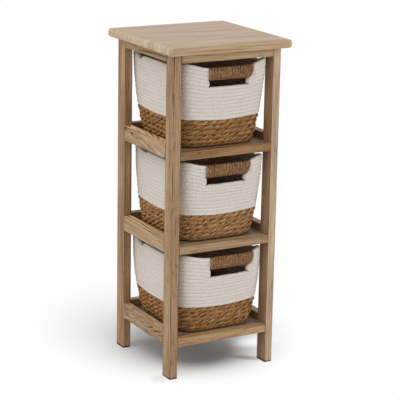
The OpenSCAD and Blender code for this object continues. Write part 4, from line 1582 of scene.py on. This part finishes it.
class DRAWER_UNIT_OT_set_stage(bpy.types.Operator):
    """Sets up the floor, the lamps, the pale surroundings and the camera"""

    bl_idname = "drawer_unit.set_stage"
    bl_label = "Set the stage"

    def execute(self, context):
        stage = context.scene.stage_settings
        self.lay_floor()
        self.light_world(context, stage)
        for name, light in SUNS.items():
            add_sun(name, *light)
        self.place_camera(context, stage)
        return {"FINISHED"}

    def lay_floor(self):
        """A wide pale floor that keeps the unit's soft shadow, rendered and painted."""
        bm = bmesh.new()
        bmesh.ops.create_grid(bm, x_segments=1, y_segments=1, size=FLOOR_HALF)
        mesh = bpy.data.meshes.new("Floor")
        bm.to_mesh(mesh)
        bm.free()
        floor = bpy.data.objects.new("Floor", mesh)
        bpy.context.scene.collection.objects.link(floor)
        mesh.materials.append(self.floor_material())

    def floor_material(self):
        """White floor, as far as it is seen, with the unit's shadow and a few softer patches in grey. Its
        white glow fades near the unit so that the rendered shadow shows, over a darker grey painted as
        shadow, with a painted lit patch and painted shade by the feet.
        """
        material, tree, shader = new_material("Pale floor")
        place = add(tree, "ShaderNodeTexCoord").outputs["Object"]
        radius = oval_distance(tree, place, *UNIT_SHADOW) - split(tree, place)[1] * SHADOW_LEAN
        away = radius.rise(*SHADOW_EDGE).maths("POWER", SHADOW_POWER)
        lit = oval_distance(tree, place, *LIT_PATCH).fall(*PATCH_EDGE)
        away = away + lit * (1 - away) * LIT_STRENGTH
        for patch, depth in FOOT_SHADES:
            away = away * (1 - oval_distance(tree, place, *patch).fall(*PATCH_EDGE) * depth)
        darkest, lighter = SHADOW_GREY
        fill(shader, {"Base Color": radius.rise(*SHADOW_CORE) * lighter + darkest, "Roughness": 0.9,
                      "Specular IOR Level": 0.0})
        glow = add(tree, "ShaderNodeEmission", {"Color": WHITE, "Strength": 1.0})
        mixed = add(tree, "ShaderNodeMixShader",
                    {0: seen_directly(tree) * away, 1: shader.outputs[0], 2: glow.outputs[0]})
        fill(tree.nodes["Material Output"], {"Surface": mixed.outputs[0]})
        return material

    def light_world(self, context, stage):
        """Light from all round, and white where the surroundings are seen."""
        world = bpy.data.worlds.new("Pale surroundings")
        context.scene.world = world
        world.use_nodes = True
        tree = world.node_tree
        ambient = tree.nodes["Background"]
        fill(ambient, {"Color": WHITE, "Strength": stage.world_strength})
        white = add(tree, "ShaderNodeBackground", {"Color": WHITE, "Strength": 1.0})
        mixed = add(tree, "ShaderNodeMixShader",
                    {0: seen_directly(tree), 1: ambient.outputs[0], 2: white.outputs[0]})
        fill(tree.nodes["World Output"], {"Surface": mixed.outputs[0]})

    def place_camera(self, context, stage):
        """The camera at its place, direction and roll."""
        azimuth = stage.camera_azimuth
        tilt = stage.camera_tilt
        level = math.cos(tilt)
        forward = Vector((math.sin(azimuth) * level, math.cos(azimuth) * level, -math.sin(tilt)))
        right = Vector((math.cos(azimuth), -math.sin(azimuth), 0))
        right = Matrix.Rotation(-stage.camera_roll, 3, forward) @ right
        up = right.cross(forward)
        data = bpy.data.cameras.new("Camera")
        data.lens = stage.lens
        data.sensor_width = 36
        camera = bpy.data.objects.new("Camera", data)
        context.scene.collection.objects.link(camera)
        camera.matrix_world = Matrix.Translation(stage.camera_place) @ Matrix(
            (right, up, -forward)).transposed().to_4x4()
        context.scene.camera = camera
        context.scene.view_settings.view_transform = "Standard"


class DRAWER_UNIT_PT_steps(bpy.types.Panel):
    """Steps that build and finish the drawer unit"""

    bl_label = "Drawer Unit"
    bl_space_type = "VIEW_3D"
    bl_region_type = "UI"
    bl_category = "Drawer Unit"

    def draw(self, context):
        for step in STEPS:
            self.layout.operator(step)
        for name in SETTINGS:
            settings = getattr(context.scene, name)
            box = self.layout.box()
            for prop in settings.bl_rna.properties:
                if prop.identifier not in ("rna_type", "name"):
                    box.prop(settings, prop.identifier)


SETTINGS = {
    "wood_settings": WoodSettings,
    "basket_settings": BasketSettings,
    "handle_settings": HandleSettings,
    "stage_settings": StageSettings,
}
OPERATORS = (
    DRAWER_UNIT_OT_finish_wood,
    DRAWER_UNIT_OT_finish_fastenings,
    DRAWER_UNIT_OT_make_rope_walls,
    DRAWER_UNIT_OT_make_braided_walls,
    DRAWER_UNIT_OT_make_braided_bottoms,
    DRAWER_UNIT_OT_wind_handles,
    DRAWER_UNIT_OT_set_stage,
)
STEPS = [operator.bl_idname for operator in OPERATORS]


def register():
    for name, settings in SETTINGS.items():
        bpy.utils.register_class(settings)
        setattr(bpy.types.Scene, name, PointerProperty(type=settings))
    for operator in OPERATORS:
        bpy.utils.register_class(operator)
    bpy.utils.register_class(DRAWER_UNIT_PT_steps)


def unregister():
    bpy.utils.unregister_class(DRAWER_UNIT_PT_steps)
    for operator in reversed(OPERATORS):
        bpy.utils.unregister_class(operator)
    for name, settings in SETTINGS.items():
        delattr(bpy.types.Scene, name)
        bpy.utils.unregister_class(settings)


def main():
    register()
    bpy.ops.drawer_unit.finish_wood()
    bpy.ops.drawer_unit.finish_fastenings()
    bpy.ops.drawer_unit.make_rope_walls()
    bpy.ops.drawer_unit.make_braided_walls()
    bpy.ops.drawer_unit.make_braided_bottoms()
    bpy.ops.drawer_unit.wind_handles()
    bpy.ops.drawer_unit.set_stage()


if __name__ == "__main__":
    main()
